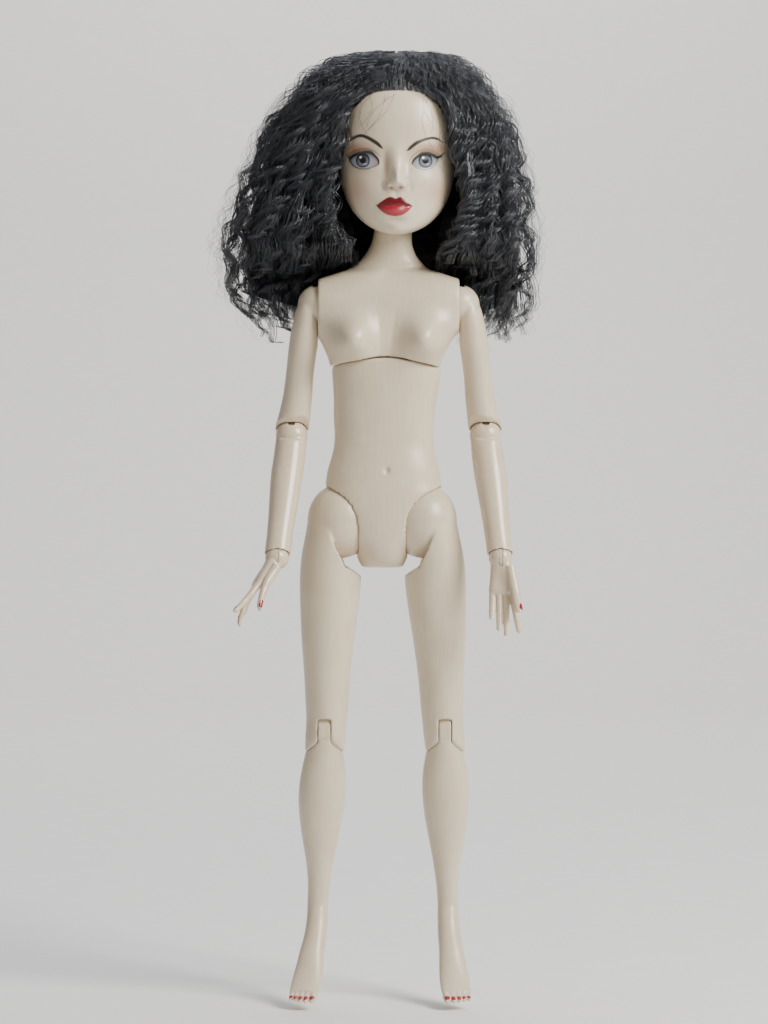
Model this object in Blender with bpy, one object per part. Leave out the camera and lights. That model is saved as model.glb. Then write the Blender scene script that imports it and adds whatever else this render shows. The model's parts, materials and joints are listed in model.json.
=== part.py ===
"""Jointed fashion doll, 16 inch class: hard body shells, ball and tongue joints, moulded head, curly wig.

Heights are measured up from the toe tips. The doll faces -Y and its left side is +X.
An empty lowers the whole doll, so that the origin is the middle of the waist, where a stand grips it.
"""

from collections import namedtuple
from math import asin, atan2, cos, exp, pi, radians, sin, sqrt, tan

import bmesh
import bpy
from mathutils import Euler, Matrix, Vector

for old in list(bpy.data.objects):
    bpy.data.objects.remove(old, do_unlink=True)

# Clearances shared by every joint
gap = 0.0003
turning_gap = 0.00045
overrun = 0.03
ball_turn = (radians(5), radians(3), radians(2))

# Lengths up the body, from the toe tips
toe_lift = 0.0032
foot_drop = 0.0383
shin_length = 0.0735
thigh_length = 0.0901
crotch_drop = 0.0193
waist_rise = 0.0379
rib_pivot_drop = 0.021
seam_rise = 0.028
bust_rise = 0.012
shoulder_rise = 0.027
neck_base_rise = 0.0155
neck_length = 0.0215
chin_drop = 0.0078
head_height = 0.0733
hair_rise = 0.0071
hair_length = 0.1241
upper_arm_length = 0.0562

# Heights above the toes
ankle_height = foot_drop + toe_lift
knee_height = ankle_height + shin_length
hip_height = knee_height + thigh_length
crotch_height = hip_height - crotch_drop
grip_height = hip_height + waist_rise
rib_pivot_height = grip_height - rib_pivot_drop
seam_height = grip_height + seam_rise
bust_height = seam_height + bust_rise
shoulder_height = seam_height + shoulder_rise
elbow_height = shoulder_height - upper_arm_length
neck_base_height = shoulder_height + neck_base_rise
neck_pivot_height = neck_base_height + neck_length
chin_height = neck_pivot_height - chin_drop
skull_height = chin_height + head_height
hair_top_height = skull_height + hair_rise
hair_tip_height = hair_top_height - hair_length

# Sideways places: the chest leans a little to the doll's left of the hips
hip_centre_x = -0.0008
knee_centre_x = 0.0003
ankle_centre_x = -0.0005
ankle_y = 0.001
chest_centre_x = 0.002
neck_centre_x = 0.0045
face_centre_x = 0.0056
hip_half_spacing = 0.0184
knee_flare = 0.0074
ankle_flare = 0.0022
seam_half_spacing = 0.0303
elbow_flare = 0.0114
wrist_flare = 0.0055
knee_half_spacing = hip_half_spacing + knee_flare
ankle_half_spacing = knee_half_spacing + ankle_flare
elbow_half_spacing = seam_half_spacing + elbow_flare
wrist_half_spacing = elbow_half_spacing + wrist_flare

# Lower torso
waist_half_width = 0.0213
torso_half_depth = 0.0165
torso_squareness = 2.3
dome_radius = 0.0541
navel_drop = 0.0164
navel_height = grip_height - navel_drop
navel_radius = 0.0013
navel_depth = 0.0007
stud_ball_radius = 0.0065
stud_peg_radius = 0.0025
stud_reach = 0.066
waist_bend_max = radians(6)
dome_steps = 4
dome_share = 0.985
belly_front_share = 0.9

# Chest and neck
chest_half_depth = 0.0125
chest_squareness = 3.2
chest_overlap = 0.009
shoulder_step = 0.0024
bust_spacing = 0.0152
bust_reach_x = 0.0102
bust_reach_z = 0.0102
bust_push = 0.0072
neck_radius = 0.0086
neck_y = 0.0025
neck_ball_radius = 0.0042
neck_peg_radius = 0.0018
neck_peg_reach = 0.021
nod_max = radians(15)
neck_dome_angle = radians(84)
neck_mouth_share = 1.2
head_mouth_share = 1.7
neck_way_share = 1.5

# Head
head_half_width = 0.026
head_half_depth = 0.0295
head_squareness = 2.25
head_centre_y = 0.0048
nose_rise = 0.0243
nose_push = 0.0056
nose_half_width = 0.0026
bridge_share = 0.36
mouth_rise = 0.014
mouth_push = 0.0014
eye_rise = 0.033
eye_half_spacing = 0.0133
eye_dent = 0.0016
bridge_rise = 0.0055
jaw_rise = 0.0035
cheek_drop = 0.0105

# How far each bump of the face spreads sideways and up, in nose half widths
nose_spread = (1.0, 1.3)
bridge_spread = (0.8, 2.1)
mouth_spread = (2.4, 1.4)
jaw_spread = (2.3, 1.5)
eye_spread = (2.6, 1.85)
cheek_spread = (2.9, 2.3)

# Arm
shoulder_radius = 0.0088
shoulder_bulge = 0.0088
shoulder_y = 0.001
upper_arm_half_width = 0.0065
arm_top_share = 0.62
elbow_radius = 0.0069
elbow_rim = 0.002
elbow_front_angles = (radians(130), radians(200))
elbow_fold_angles = (radians(80), radians(218))
forearm_half_width = 0.0068
forearm_length = 0.0576
forearm_rest_bend = radians(25)
wrist_radius = 0.005
wrist_rim = 0.0018
arm_y = 0.001

# Hand
palm_length = 0.0155
palm_half_width = 0.0056
palm_half_depth = 0.0024
palm_squareness = 2.3
right_hand_turn = (radians(31), radians(10), radians(78))
left_hand_turn = (radians(-2), radians(10), radians(-10))
finger_radius = 0.00135
finger_length = 0.0185
thumb_radius = 0.0017
thumb_length = 0.0185
finger_joint_shares = (0.42, 0.32, 0.26)
finger_bend_shares = (0.15, 0.5, 0.35)
finger_width_shares = (1.08, 1.0, 0.88, 0.62)
fingertip_share = 0.6

# Leg
hip_radius = 0.016
hip_bulge_share = 0.86
hip_y = -0.0004
thigh_half_width = 0.0134
thigh_half_depth = 0.0138
notch_radius = 0.0232
notch_inner_x = 0.0162
crease_outer_x = 0.0259
crease_radius = 0.0121
crease_step = 0.0014
knee_radius = 0.0088
knee_tongue_width = 0.0052
knee_slot_top = 0.0054
stem_share = 1.35
knee_front_angles = (radians(-60), radians(70))
knee_back_angles = (radians(110), radians(206))
knee_disc_angles = (radians(-60), radians(240))
calf_half_width = 0.0094
foot_half_width = 0.0064
foot_reach = 0.03
toe_radius = 0.0014
toe_length = 0.0062
toe_ahead_share = 0.84
toe_drop_share = 0.935
toe_egg_share = 0.75
toe_tilt = radians(22)
right_toe_out = radians(12)
left_toe_out = radians(7)

# Hinge hardware
pin_radius = 0.0011
side_disc_share = 0.55
side_pin_share = 0.72
end_pin_share = 0.78
hip_disc_share = 0.58
hip_pin_share = 0.75
elbow_tongue = 0.003
elbow_peg_radius = 0.0022
elbow_peg_reach = 0.0165
wrist_tongue = 0.0014
wrist_peg_radius = 0.0012
wrist_peg_reach = 0.0105
wrist_pin_radius = 0.0006
shoulder_tongue = 0.004
shoulder_peg_radius = 0.003
shoulder_peg_end = 0.0113
shoulder_peg_reach = seam_half_spacing - shoulder_peg_end
hip_tongue = 0.005
hip_stub_radius = 0.0034
hip_stub_end = 0.0008
hip_stub_reach = hip_half_spacing - hip_stub_end

# Wig
wig_half_width = 0.0669
wig_front = 0.016
wig_top_front = 0.0304
wig_top_share = 0.15
wig_back = 0.042
wig_squareness = 2.4
wig_inner_half_width = 0.0216
wig_opening_half_width = 0.0207
wig_opening_drop = 0.0152
opening_squareness = 0.8
wig_fringe_drop = 0.012
wig_crown_drop = 0.0145
wig_opening_low = chin_height - wig_opening_drop
wig_opening_high = skull_height - wig_fringe_drop
wig_crown_cut = skull_height - wig_crown_drop
wig_back_front = 0.014
wig_clearance = 0.0006
curl_count = 5
curl_depth = 0.0022
curl_lag = 3
curl_growth = 3

# Facet counts
body_sides = 22
head_sides = 22
wig_sides = 20
limb_sides = 12
ball_sides = 14
turning_sides = 18
thigh_sides = 14
notch_sides = 26
disc_sides = 16
dome_sides = 32
small_sides = 10
finger_sides = 6
palm_sides = 12
toe_sides = 8
arc_steps = 14

Ring = namedtuple("Ring", "x y z half_width front back pitch power")


def make_material(name, colour, roughness):
    """Returns a Principled material in one colour."""
    made = bpy.data.materials.new(name)
    made.use_nodes = True
    shader = made.node_tree.nodes["Principled BSDF"]
    shader.inputs["Base Color"].default_value = (*colour, 1)
    shader.inputs["Roughness"].default_value = roughness
    made.diffuse_color = (*colour, 1)
    return made


skin = make_material("cream_vinyl", (0.62, 0.50, 0.40), 0.42)
gloss_skin = make_material("glossy_cream_plastic", (0.62, 0.50, 0.41), 0.25)
fitting = make_material("nylon_joint", (0.55, 0.45, 0.37), 0.5)
steel = make_material("steel_pin", (0.55, 0.55, 0.56), 0.35)
hair = make_material("black_fibre", (0.012, 0.012, 0.014), 0.4)

stand = bpy.data.objects.new("doll_empty", None)
stand.location = (0, 0, -grip_height)
bpy.context.scene.collection.objects.link(stand)


def add_object(name, mesh, origin, material=None):
    """Links a closed bmesh as an object whose origin is the given point, under the doll's empty."""
    bmesh.ops.recalc_face_normals(mesh, faces=mesh.faces)
    bmesh.ops.translate(mesh, verts=mesh.verts, vec=-Vector(origin))
    data = bpy.data.meshes.new(name)
    mesh.to_mesh(data)
    mesh.free()
    data.shade_smooth()
    data.set_sharp_from_angle(angle=radians(40))
    if material:
        data.materials.append(material)
    made = bpy.data.objects.new(name, data)
    made.parent = stand
    made.location = origin
    bpy.context.scene.collection.objects.link(made)
    return made


def add_carrier(name, pivot, bend):
    """Returns an empty that tilts what hangs from it about X, forwards, at a joint's pivot."""
    made = bpy.data.objects.new(name, None)
    made.parent = stand
    made.location = pivot
    made.rotation_euler = (-bend, 0, 0)
    bpy.context.scene.collection.objects.link(made)
    return made


def hang_on(carrier, pieces):
    """Moves pieces from the doll's empty to a carrier's, so that they tilt with it."""
    for piece in pieces:
        piece.parent = carrier
        piece.location -= carrier.location


def add_tool(name, mesh):
    """Links a bmesh as a cutter, which isn't part of the doll."""
    made = add_object(name, mesh, (0, 0, 0))
    made.hide_render = True
    made.display_type = "WIRE"
    return made


def combine(target, tool, operation):
    """Adds an exact Boolean of the tool to the target."""
    modifier = target.modifiers.new(f"{operation.lower()}_{tool.name}", "BOOLEAN")
    modifier.operation = operation
    modifier.solver = "EXACT"
    modifier.object = tool


def cut(target, *tools):
    for tool in tools:
        combine(target, tool, "DIFFERENCE")


def join(target, *tools):
    for tool in tools:
        combine(target, tool, "UNION")


def on_curve(t, a, b, c, d):
    """Returns the value at share t between b and c of a smooth curve through four values."""
    cube = (3 * b - a + d - 3 * c) / 2
    square = a - 5 * b / 2 + 2 * c - d / 2
    return b + t * ((c - a) / 2 + t * (square + t * cube))


def smooth_rings(rings, steps):
    """Returns the rings with steps - 1 more between each pair, on a smooth curve through them."""
    if steps == 1:
        return list(rings)
    made = []
    last = len(rings) - 1
    for index in range(last):
        before, here, after, beyond = (
            rings[max(index - 1, 0)],
            rings[index],
            rings[index + 1],
            rings[min(index + 2, last)],
        )
        for step in range(steps):
            t = step / steps
            made.append(Ring(*(on_curve(t, *four) for four in zip(before, here, after, beyond))))
    made.append(rings[last])
    return made


def ring_points(ring, sides):
    """Returns the points of one cross-section: rounded, with its own depth at the front and at the back."""
    points = []
    for index in range(sides):
        angle = 2 * pi * (index + 0.5) / sides
        across, along = cos(angle), sin(angle)
        across = ring.half_width * abs(across) ** (2 / ring.power) * (1 if across > 0 else -1)
        depth = ring.back if along > 0 else ring.front
        along = depth * abs(along) ** (2 / ring.power) * (1 if along > 0 else -1)
        points.append(
            Vector((ring.x + across, ring.y + along * cos(ring.pitch), ring.z - along * sin(ring.pitch)))
        )
    return points


def loft(rings, sides):
    """Returns a closed skin over the rings, with a flat cap at each end."""
    mesh = bmesh.new()
    loops = [[mesh.verts.new(point) for point in ring_points(ring, sides)] for ring in rings]
    for low, high in zip(loops, loops[1:]):
        for index in range(sides):
            after = (index + 1) % sides
            mesh.faces.new((low[index], low[after], high[after], high[index]))
    mesh.faces.new(loops[0][::-1])
    mesh.faces.new(loops[-1])
    return mesh


def swell(mesh, centre, reach, push, front_only=True):
    """Pushes the skin by a soft bump: full at the centre, fading over the reach along X, Y and Z."""
    centre, push = Vector(centre), Vector(push)
    for vert in mesh.verts:
        away = vert.co - centre
        if front_only and away.y > reach[1]:
            continue
        fall = sum((away[axis] / reach[axis]) ** 2 for axis in range(3))
        vert.co += push * exp(-fall)


def ball(centre, radius, sides=24, scale=(1, 1, 1)):
    """Returns a ball, turned a little so that no ring of it lies level with a ring of what it joins."""
    mesh = bmesh.new()
    bmesh.ops.create_uvsphere(mesh, u_segments=sides, v_segments=sides // 2, radius=radius)
    bmesh.ops.rotate(mesh, verts=mesh.verts, matrix=Euler(ball_turn).to_matrix())
    bmesh.ops.scale(mesh, verts=mesh.verts, vec=scale)
    bmesh.ops.translate(mesh, verts=mesh.verts, vec=centre)
    return mesh


def rod(start, end, radius, sides=small_sides, end_radius=None):
    """Returns a round bar, or a cone, from start to end."""
    start, end = Vector(start), Vector(end)
    mesh = bmesh.new()
    bmesh.ops.create_cone(
        mesh,
        cap_ends=True,
        segments=sides,
        radius1=radius,
        radius2=radius if end_radius is None else end_radius,
        depth=(end - start).length,
    )
    turn = (end - start).to_track_quat("Z", "Y").to_matrix().to_4x4()
    bmesh.ops.transform(mesh, matrix=Matrix.Translation((start + end) / 2) @ turn, verts=mesh.verts)
    return mesh


def spindle(rows, centre, sides):
    """Returns a turned solid about X through a point, from rows of place along X and radius."""
    mesh = bmesh.new()
    loops = []
    for place, radius in rows:
        loop = []
        for index in range(sides):
            angle = 2 * pi * (index + 0.37) / sides
            across, rise = radius * cos(angle), radius * sin(angle)
            loop.append(mesh.verts.new((place, centre.y + across, centre.z + rise)))
        loops.append(loop)
    for low, high in zip(loops, loops[1:]):
        for index in range(sides):
            after = (index + 1) % sides
            mesh.faces.new((low[index], low[after], high[after], high[index]))
    mesh.faces.new(loops[0][::-1])
    mesh.faces.new(loops[-1])
    return mesh


def prism(outline, axis, middle, width):
    """Returns a plate: an outline in the plane across the axis (0 is X, 1 is Y), with its middle there."""
    mesh = bmesh.new()
    sides = []
    for side in (-width / 2, width / 2):
        if axis == 0:
            points = [(middle + side, a, b) for a, b in outline]
        else:
            points = [(a, middle + side, b) for a, b in outline]
        sides.append([mesh.verts.new(point) for point in points])
    count = len(outline)
    mesh.faces.new(sides[0])
    mesh.faces.new(sides[1][::-1])
    for index in range(count):
        after = (index + 1) % count
        mesh.faces.new((sides[0][index], sides[1][index], sides[1][after], sides[0][after]))
    return mesh


def sector(centre, start, end, reach):
    """Returns the corners of a wedge about a centre, in its own plane, from one angle to another."""
    middle = (start + end) / 2
    return [centre] + [
        (centre[0] + reach * cos(angle), centre[1] + reach * sin(angle)) for angle in (start, middle, end)
    ]


def arc(centre, radius, start, end, steps):
    """Returns points of an arc about a centre, in its own plane."""
    angles = (start + (end - start) * step / steps for step in range(steps + 1))
    return [(centre[0] + radius * cos(angle), centre[1] + radius * sin(angle)) for angle in angles]


def rings_along(rows, low, high, half_width, half_depth, power=2.0):
    """Turns rows of shares into rings between two points.

    A row holds the share of the way up, the sideways shift and the half width as shares of the half width,
    and the front and back as shares of the half depth.
    """
    low, high = Vector(low), Vector(high)
    made = []
    for share, shift, width, front, back in rows:
        place = low.lerp(high, share)
        made.append(
            Ring(
                place.x + shift * half_width,
                place.y,
                place.z,
                width * half_width,
                front * half_depth,
                back * half_depth,
                0,
                power,
            )
        )
    return made


def slice_off(mesh, point, outward):
    """Cuts a closed mesh by a plane, removes what lies outward of it and closes the cut."""
    everything = [*mesh.verts, *mesh.edges, *mesh.faces]
    bmesh.ops.bisect_plane(
        mesh, geom=everything, plane_co=point, plane_no=outward, clear_outer=True, dist=gap / 100
    )
    rim = [edge for edge in mesh.edges if edge.is_boundary]
    bmesh.ops.edgenet_fill(mesh, edges=rim)


def clip_to_ball(mesh, centre, radius, above):
    """Draws points above a height in, level, until they lie in a ball."""
    centre = Vector(centre)
    for vert in mesh.verts:
        if vert.co.z < above:
            continue
        rise = min(abs(vert.co.z - centre.z), radius)
        room = sqrt(radius**2 - rise**2)
        flat = Vector((vert.co.x - centre.x, vert.co.y - centre.y))
        if flat.length > room:
            flat *= room / flat.length
            vert.co.x, vert.co.y = centre.x + flat.x, centre.y + flat.y


def add_stud(name, pivot, ball_radius, peg_radius, reach):
    """Makes a ball on a peg: the ball bends in the piece below, and the piece above turns on the peg."""
    pivot = Vector(pivot)
    made = add_object(name, ball(pivot, ball_radius, ball_sides), pivot, fitting)
    peg = rod(pivot, pivot + Vector((0, 0, reach)), peg_radius)
    join(made, add_tool(f"{name}_peg", peg))
    return made


def stud_socket(name, pivot, ball_radius, peg_radius, swing, reach):
    """Returns the cutters of a stud's ball seat, with an opening as wide as the peg's swing."""
    pivot = Vector(pivot)
    seat = add_tool(f"{name}_seat", ball(pivot, ball_radius + gap, ball_sides))
    low = pivot + Vector((0, 0, ball_radius * cos(swing) / 2))
    rise = reach - low.z + pivot.z
    start = peg_radius + gap + (low.z - pivot.z) * tan(swing)
    mouth = rod(low, pivot + Vector((0, 0, reach)), start, small_sides, start + rise * tan(swing))
    return seat, add_tool(f"{name}_mouth", mouth)


# Waist and neck pivots
rib_pivot = Vector((0, 0, rib_pivot_height))
neck_pivot = Vector((neck_centre_x, neck_y, neck_pivot_height))

# Rows: share of the way up, shift, half width, front, back
torso_shares = (
    (-0.012, 0, 0.30, 0.32, 0.34),
    (0.0, 0, 0.42, 0.56, 0.60),
    (0.06, 0, 0.50, 0.74, 0.86),
    (0.14, 0, 0.60, 0.86, 1.02),
    (0.25, 0, 0.90, 0.95, 1.12),
    (0.38, 0, 1.16, 1.00, 1.16),
    (0.52, 0, 1.24, 0.98, 1.12),
    (0.62, 0, 1.17, 0.94, 1.00),
    (0.72, 0, 1.13, 0.90, 0.90),
    (0.80, 0, 1.07, 0.86, 0.84),
    (0.90, 0, 1.01, 0.80, 0.78),
    (1.0, 0, 1.0, 0.78, 0.76),
)
abdomen_shares = (
    (0.0, 0, 1.0, 0.78, 0.76),
    (0.25, 0, 1.02, 0.79, 0.77),
    (0.55, 0.03, 1.05, 0.82, 0.79),
    (0.90, 0.05, 1.10, 0.86, 0.82),
)


def make_lower_torso():
    pelvis = rings_along(
        torso_shares,
        (hip_centre_x, 0, crotch_height),
        (0, 0, grip_height),
        waist_half_width,
        torso_half_depth,
        torso_squareness,
    )
    top = rib_pivot_height + dome_radius
    abdomen = rings_along(
        abdomen_shares,
        (0, 0, grip_height),
        (0, 0, seam_height),
        waist_half_width,
        torso_half_depth,
        torso_squareness,
    )
    rings = pelvis + abdomen[1:]
    last = rings[-1]
    for step in range(1, dome_steps + 1):
        height = last.z + (top - last.z) * sin(pi / 2 * step / dome_steps) * dome_share
        rings.append(last._replace(z=height))
    mesh = loft(rings, body_sides)
    clip_to_ball(mesh, rib_pivot, dome_radius, rib_pivot_height)
    swell(
        mesh,
        (0, -torso_half_depth * belly_front_share, navel_height),
        (navel_radius, torso_half_depth / 2, navel_radius),
        (0, navel_depth, 0),
    )
    torso = add_object("lower_torso", mesh, (0, 0, grip_height), skin)
    cut(
        torso,
        *stud_socket(
            "waist", rib_pivot, stud_ball_radius, stud_peg_radius, waist_bend_max + radians(1), stud_reach
        ),
    )
    for side, sign in sides:
        hip = hip_point(sign)
        cut(torso, add_tool(f"{side}_hip_socket", ball(hip, hip_radius + turning_gap, turning_sides)))
        inner = hip - Vector((sign * (hip_stub_reach + gap), 0, 0))
        cut(torso, add_tool(f"{side}_hip_bore", rod(hip, inner, hip_stub_radius + gap, small_sides)))
    return torso


chest_shares = (
    (0.0, 0.00, 0.77, 0.95, 0.98),
    (0.10, 0.00, 0.775, 0.98, 1.02),
    (0.22, 0.00, 0.79, 0.98, 1.04),
    (0.34, 0.00, 0.87, 0.98, 1.06),
    (0.46, 0.00, 0.98, 0.97, 1.07),
    (0.62, 0.00, 1.20, 0.94, 1.06),
    (0.80, 0.00, 1.26, 0.90, 1.02),
    (0.92, 0.00, 1.12, 0.76, 0.94),
    (1.0, 0.01, 0.80, 0.62, 0.86),
)
neck_shares = (
    (0.0, 0, 2.05, 0.88, 1.22),
    (0.12, 0, 1.66, 0.88, 1.14),
    (0.28, 0, 1.30, 0.88, 1.06),
    (0.50, 0, 1.04, 0.92, 1.0),
    (0.75, 0, 0.96, 0.94, 0.96),
    (1.0, 0, 0.99, 0.99, 0.99),
)
chest_low = seam_height - chest_overlap


def make_chest():
    body = rings_along(
        chest_shares,
        (0, 0, chest_low),
        (chest_centre_x, neck_y / 2, neck_base_height - shoulder_step),
        seam_half_spacing,
        chest_half_depth,
        chest_squareness,
    )
    neck = rings_along(
        neck_shares,
        (chest_centre_x, neck_y, neck_base_height),
        neck_pivot,
        neck_radius,
        neck_radius,
        2.0,
    )
    rings = body + neck
    last = rings[-1]
    for step in range(1, dome_steps + 1):
        angle = neck_dome_angle * step / dome_steps
        rings.append(
            last._replace(
                z=last.z + neck_radius * sin(angle),
                half_width=neck_radius * cos(angle),
                front=neck_radius * cos(angle),
                back=neck_radius * cos(angle),
            )
        )
    mesh = loft(rings, body_sides)
    for sign in (-1, 1):
        swell(
            mesh,
            (chest_centre_x + sign * bust_spacing, -chest_half_depth, bust_height),
            (bust_reach_x, chest_half_depth, bust_reach_z),
            (0, -bust_push, 0),
        )
    for vert in mesh.verts:
        side = vert.co.x - chest_centre_x
        vert.co.x = chest_centre_x + max(-seam_half_spacing, min(seam_half_spacing, side))
    chest = add_object("chest", mesh, rib_pivot, skin)
    cut(chest, add_tool("chest_underside", ball(rib_pivot, dome_radius + gap * 2, dome_sides)))
    peg_top = rib_pivot + Vector((0, 0, stud_reach + gap))
    cut(chest, add_tool("chest_bore", rod(rib_pivot, peg_top, stud_peg_radius + gap)))
    cut(
        chest,
        *stud_socket(
            "neck",
            neck_pivot,
            neck_ball_radius,
            neck_peg_radius,
            nod_max + radians(2),
            neck_radius * neck_mouth_share,
        ),
    )
    for side, sign in sides:
        shoulder = shoulder_point(sign)
        pocket = ball(shoulder, shoulder_radius + turning_gap, turning_sides)
        cut(chest, add_tool(f"{side}_shoulder_pocket", pocket))
        inner = shoulder - Vector((sign * (shoulder_peg_reach + gap), 0, 0))
        cut(chest, add_tool(f"{side}_shoulder_bore", rod(shoulder, inner, shoulder_peg_radius + gap)))
    return chest


# Rows: share of the way up, half width, and the front and back, as shares of the head's half width and depth
head_shares = (
    (0.0, 0.14, 0.86, -0.60),
    (0.02, 0.32, 0.91, -0.38),
    (0.055, 0.49, 0.945, -0.12),
    (0.105, 0.64, 0.965, 0.13),
    (0.16, 0.755, 0.975, 0.36),
    (0.23, 0.85, 0.98, 0.60),
    (0.31, 0.925, 0.985, 0.78),
    (0.42, 0.975, 0.98, 0.92),
    (0.53, 1.0, 0.985, 0.985),
    (0.65, 1.0, 0.99, 1.0),
    (0.775, 0.94, 0.92, 0.94),
    (0.87, 0.79, 0.75, 0.80),
    (0.94, 0.58, 0.50, 0.58),
    (0.985, 0.31, 0.24, 0.30),
    (1.0, 0.12, 0.08, 0.12),
)


def head_rings(grow):
    """Returns the head's rings, grown on every side for the wig's clearance."""
    made = []
    for share, width, front, back in head_shares:
        face_y = head_centre_y - front * head_half_depth - grow
        nape_y = head_centre_y + back * head_half_depth + grow
        middle = (face_y + nape_y) / 2
        made.append(
            Ring(
                face_centre_x,
                middle,
                chin_height + share * (skull_height - chin_height) + grow * (2 * share - 1),
                width * head_half_width + grow,
                middle - face_y,
                nape_y - middle,
                0,
                head_squareness,
            )
        )
    return made


def make_head():
    mesh = loft(smooth_rings(head_rings(0), 2), head_sides)
    face_y = head_centre_y - head_half_depth
    reach_y = head_half_depth / 2
    features = (
        (0, nose_rise, *nose_spread, -nose_push),
        (0, nose_rise + bridge_rise, *bridge_spread, -nose_push * bridge_share),
        (0, mouth_rise, *mouth_spread, -mouth_push),
        (0, jaw_rise, *jaw_spread, -mouth_push),
        (-eye_half_spacing, eye_rise, *eye_spread, eye_dent),
        (eye_half_spacing, eye_rise, *eye_spread, eye_dent),
        (-eye_half_spacing, eye_rise - cheek_drop, *cheek_spread, -eye_dent / 2),
        (eye_half_spacing, eye_rise - cheek_drop, *cheek_spread, -eye_dent / 2),
    )
    for side, rise, wide, tall, push in features:
        swell(
            mesh,
            (face_centre_x + side, face_y, chin_height + rise),
            (wide * nose_half_width, reach_y, tall * nose_half_width),
            (0, push, 0),
        )
    head = add_object("head", mesh, neck_pivot, skin)
    seat = ball(neck_pivot, neck_radius + turning_gap, turning_sides)
    cut(head, add_tool("head_seat", seat))
    depth = neck_radius * head_mouth_share
    start = neck_radius + gap * 2
    rim = start + depth * tan(nod_max + radians(4))
    mouth = rod(neck_pivot, neck_pivot - Vector((0, 0, depth)), start, head_sides, rim)
    cut(head, add_tool("head_mouth", mouth))
    peg_top = neck_pivot + Vector((0, 0, neck_peg_reach + gap))
    cut(head, add_tool("head_bore", rod(neck_pivot, peg_top, neck_peg_radius + gap)))
    return head


sides = (("right", -1), ("left", 1))


def hip_point(sign):
    return Vector((hip_centre_x + sign * hip_half_spacing, hip_y, hip_height))


def knee_point(sign):
    return Vector((knee_centre_x + sign * knee_half_spacing, 0, knee_height))


def ankle_point(sign):
    return Vector((ankle_centre_x + sign * ankle_half_spacing, ankle_y, ankle_height))


def shoulder_point(sign):
    return Vector((chest_centre_x + sign * seam_half_spacing, shoulder_y, shoulder_height))


def elbow_point(sign):
    return Vector((chest_centre_x + sign * elbow_half_spacing, arm_y, elbow_height))


def wrist_point(sign):
    """Returns the wrist of a straight arm, before the elbow's carrier tilts the forearm."""
    return Vector((chest_centre_x + sign * wrist_half_spacing, arm_y, elbow_height - forearm_length))


def add_side_hub(name, pivot, sign, tongue, disc_radius, peg_radius, reach):
    """Makes a hub whose peg turns about X in the body and whose tongue carries the limb's pin along Y."""
    disc = rod(
        pivot - Vector((0, tongue / 2, 0)), pivot + Vector((0, tongue / 2, 0)), disc_radius, disc_sides
    )
    hub = add_object(name, disc, pivot, fitting)
    inner = pivot - Vector((sign * reach, 0, 0))
    join(hub, add_tool(f"{name}_peg", rod(pivot, inner, peg_radius)))
    across = Vector((0, overrun, 0))
    cut(hub, add_tool(f"{name}_eye", rod(pivot - across, pivot + across, pin_radius + gap)))
    return hub


def cut_side_slot(limb, name, pivot, sign, tongue, disc_radius, peg_radius, raise_max):
    """Cuts the tongue's slot in a limb's ball, open on its inner side up to the hub of a raised limb."""
    width = tongue + 2 * gap
    disc = rod(
        pivot - Vector((0, width / 2, 0)), pivot + Vector((0, width / 2, 0)), disc_radius + gap, disc_sides
    )
    cut(limb, add_tool(f"{name}_slot", disc))
    clear = peg_radius + 2 * gap
    reach = overrun
    inward = -sign
    corners = [(0, -clear), (reach, -clear)]
    for angle in (0.0, raise_max / 2, raise_max):
        corners.append(
            (reach * cos(angle) - clear * sin(angle), reach * sin(angle) + clear * cos(angle))
        )
    corners.append((-clear * sin(raise_max), clear * cos(raise_max)))
    corners.append((-clear, 0))
    outline = [(pivot.x + inward * a, pivot.z + b) for a, b in corners]
    width = max(width, 2 * clear)
    cut(limb, add_tool(f"{name}_way", prism(outline, 1, pivot.y, width)))


def add_pin(name, pivot, axis, radius, half_length):
    along = Vector(axis) * half_length
    return add_object(name, rod(pivot - along, pivot + along, radius), pivot, steel)


def cut_pin_bore(limb, name, pivot, axis, radius, half_length):
    along = Vector(axis) * (half_length + gap)
    cut(limb, add_tool(f"{name}_bore", rod(pivot - along, pivot + along, radius + gap)))


def add_end_hub(name, pivot, tongue, disc_radius, peg_radius, reach, eye_radius):
    """Makes a hub whose peg turns upright in the limb above and whose round tongue holds a pin along X."""
    half = Vector((tongue / 2, 0, 0))
    hub = add_object(name, rod(pivot - half, pivot + half, disc_radius, disc_sides), pivot, fitting)
    peg_low = pivot + Vector((0, 0, disc_radius + gap / 2))
    peg = rod(peg_low, pivot + Vector((0, 0, reach)), peg_radius)
    neck = rod(pivot, peg_low + Vector((0, 0, gap)), tongue / 2 - gap / 2)
    join(hub, add_tool(f"{name}_peg", peg), add_tool(f"{name}_neck", neck))
    across = Vector((overrun, 0, 0))
    cut(hub, add_tool(f"{name}_eye", rod(pivot - across, pivot + across, eye_radius + gap)))
    return hub


def cut_end_slot(limb, name, pivot, tongue, disc_radius):
    """Cuts the round tongue's slot right across a limb's dome, which leaves a cheek on each side."""
    half = Vector((tongue / 2 + gap, 0, 0))
    disc = rod(pivot - half, pivot + half, disc_radius + gap, disc_sides)
    cut(limb, add_tool(f"{name}_slot", disc))


shoulder_raise_max = radians(80)
hip_spread_max = radians(35)
elbow_twist_max = radians(25)

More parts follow.
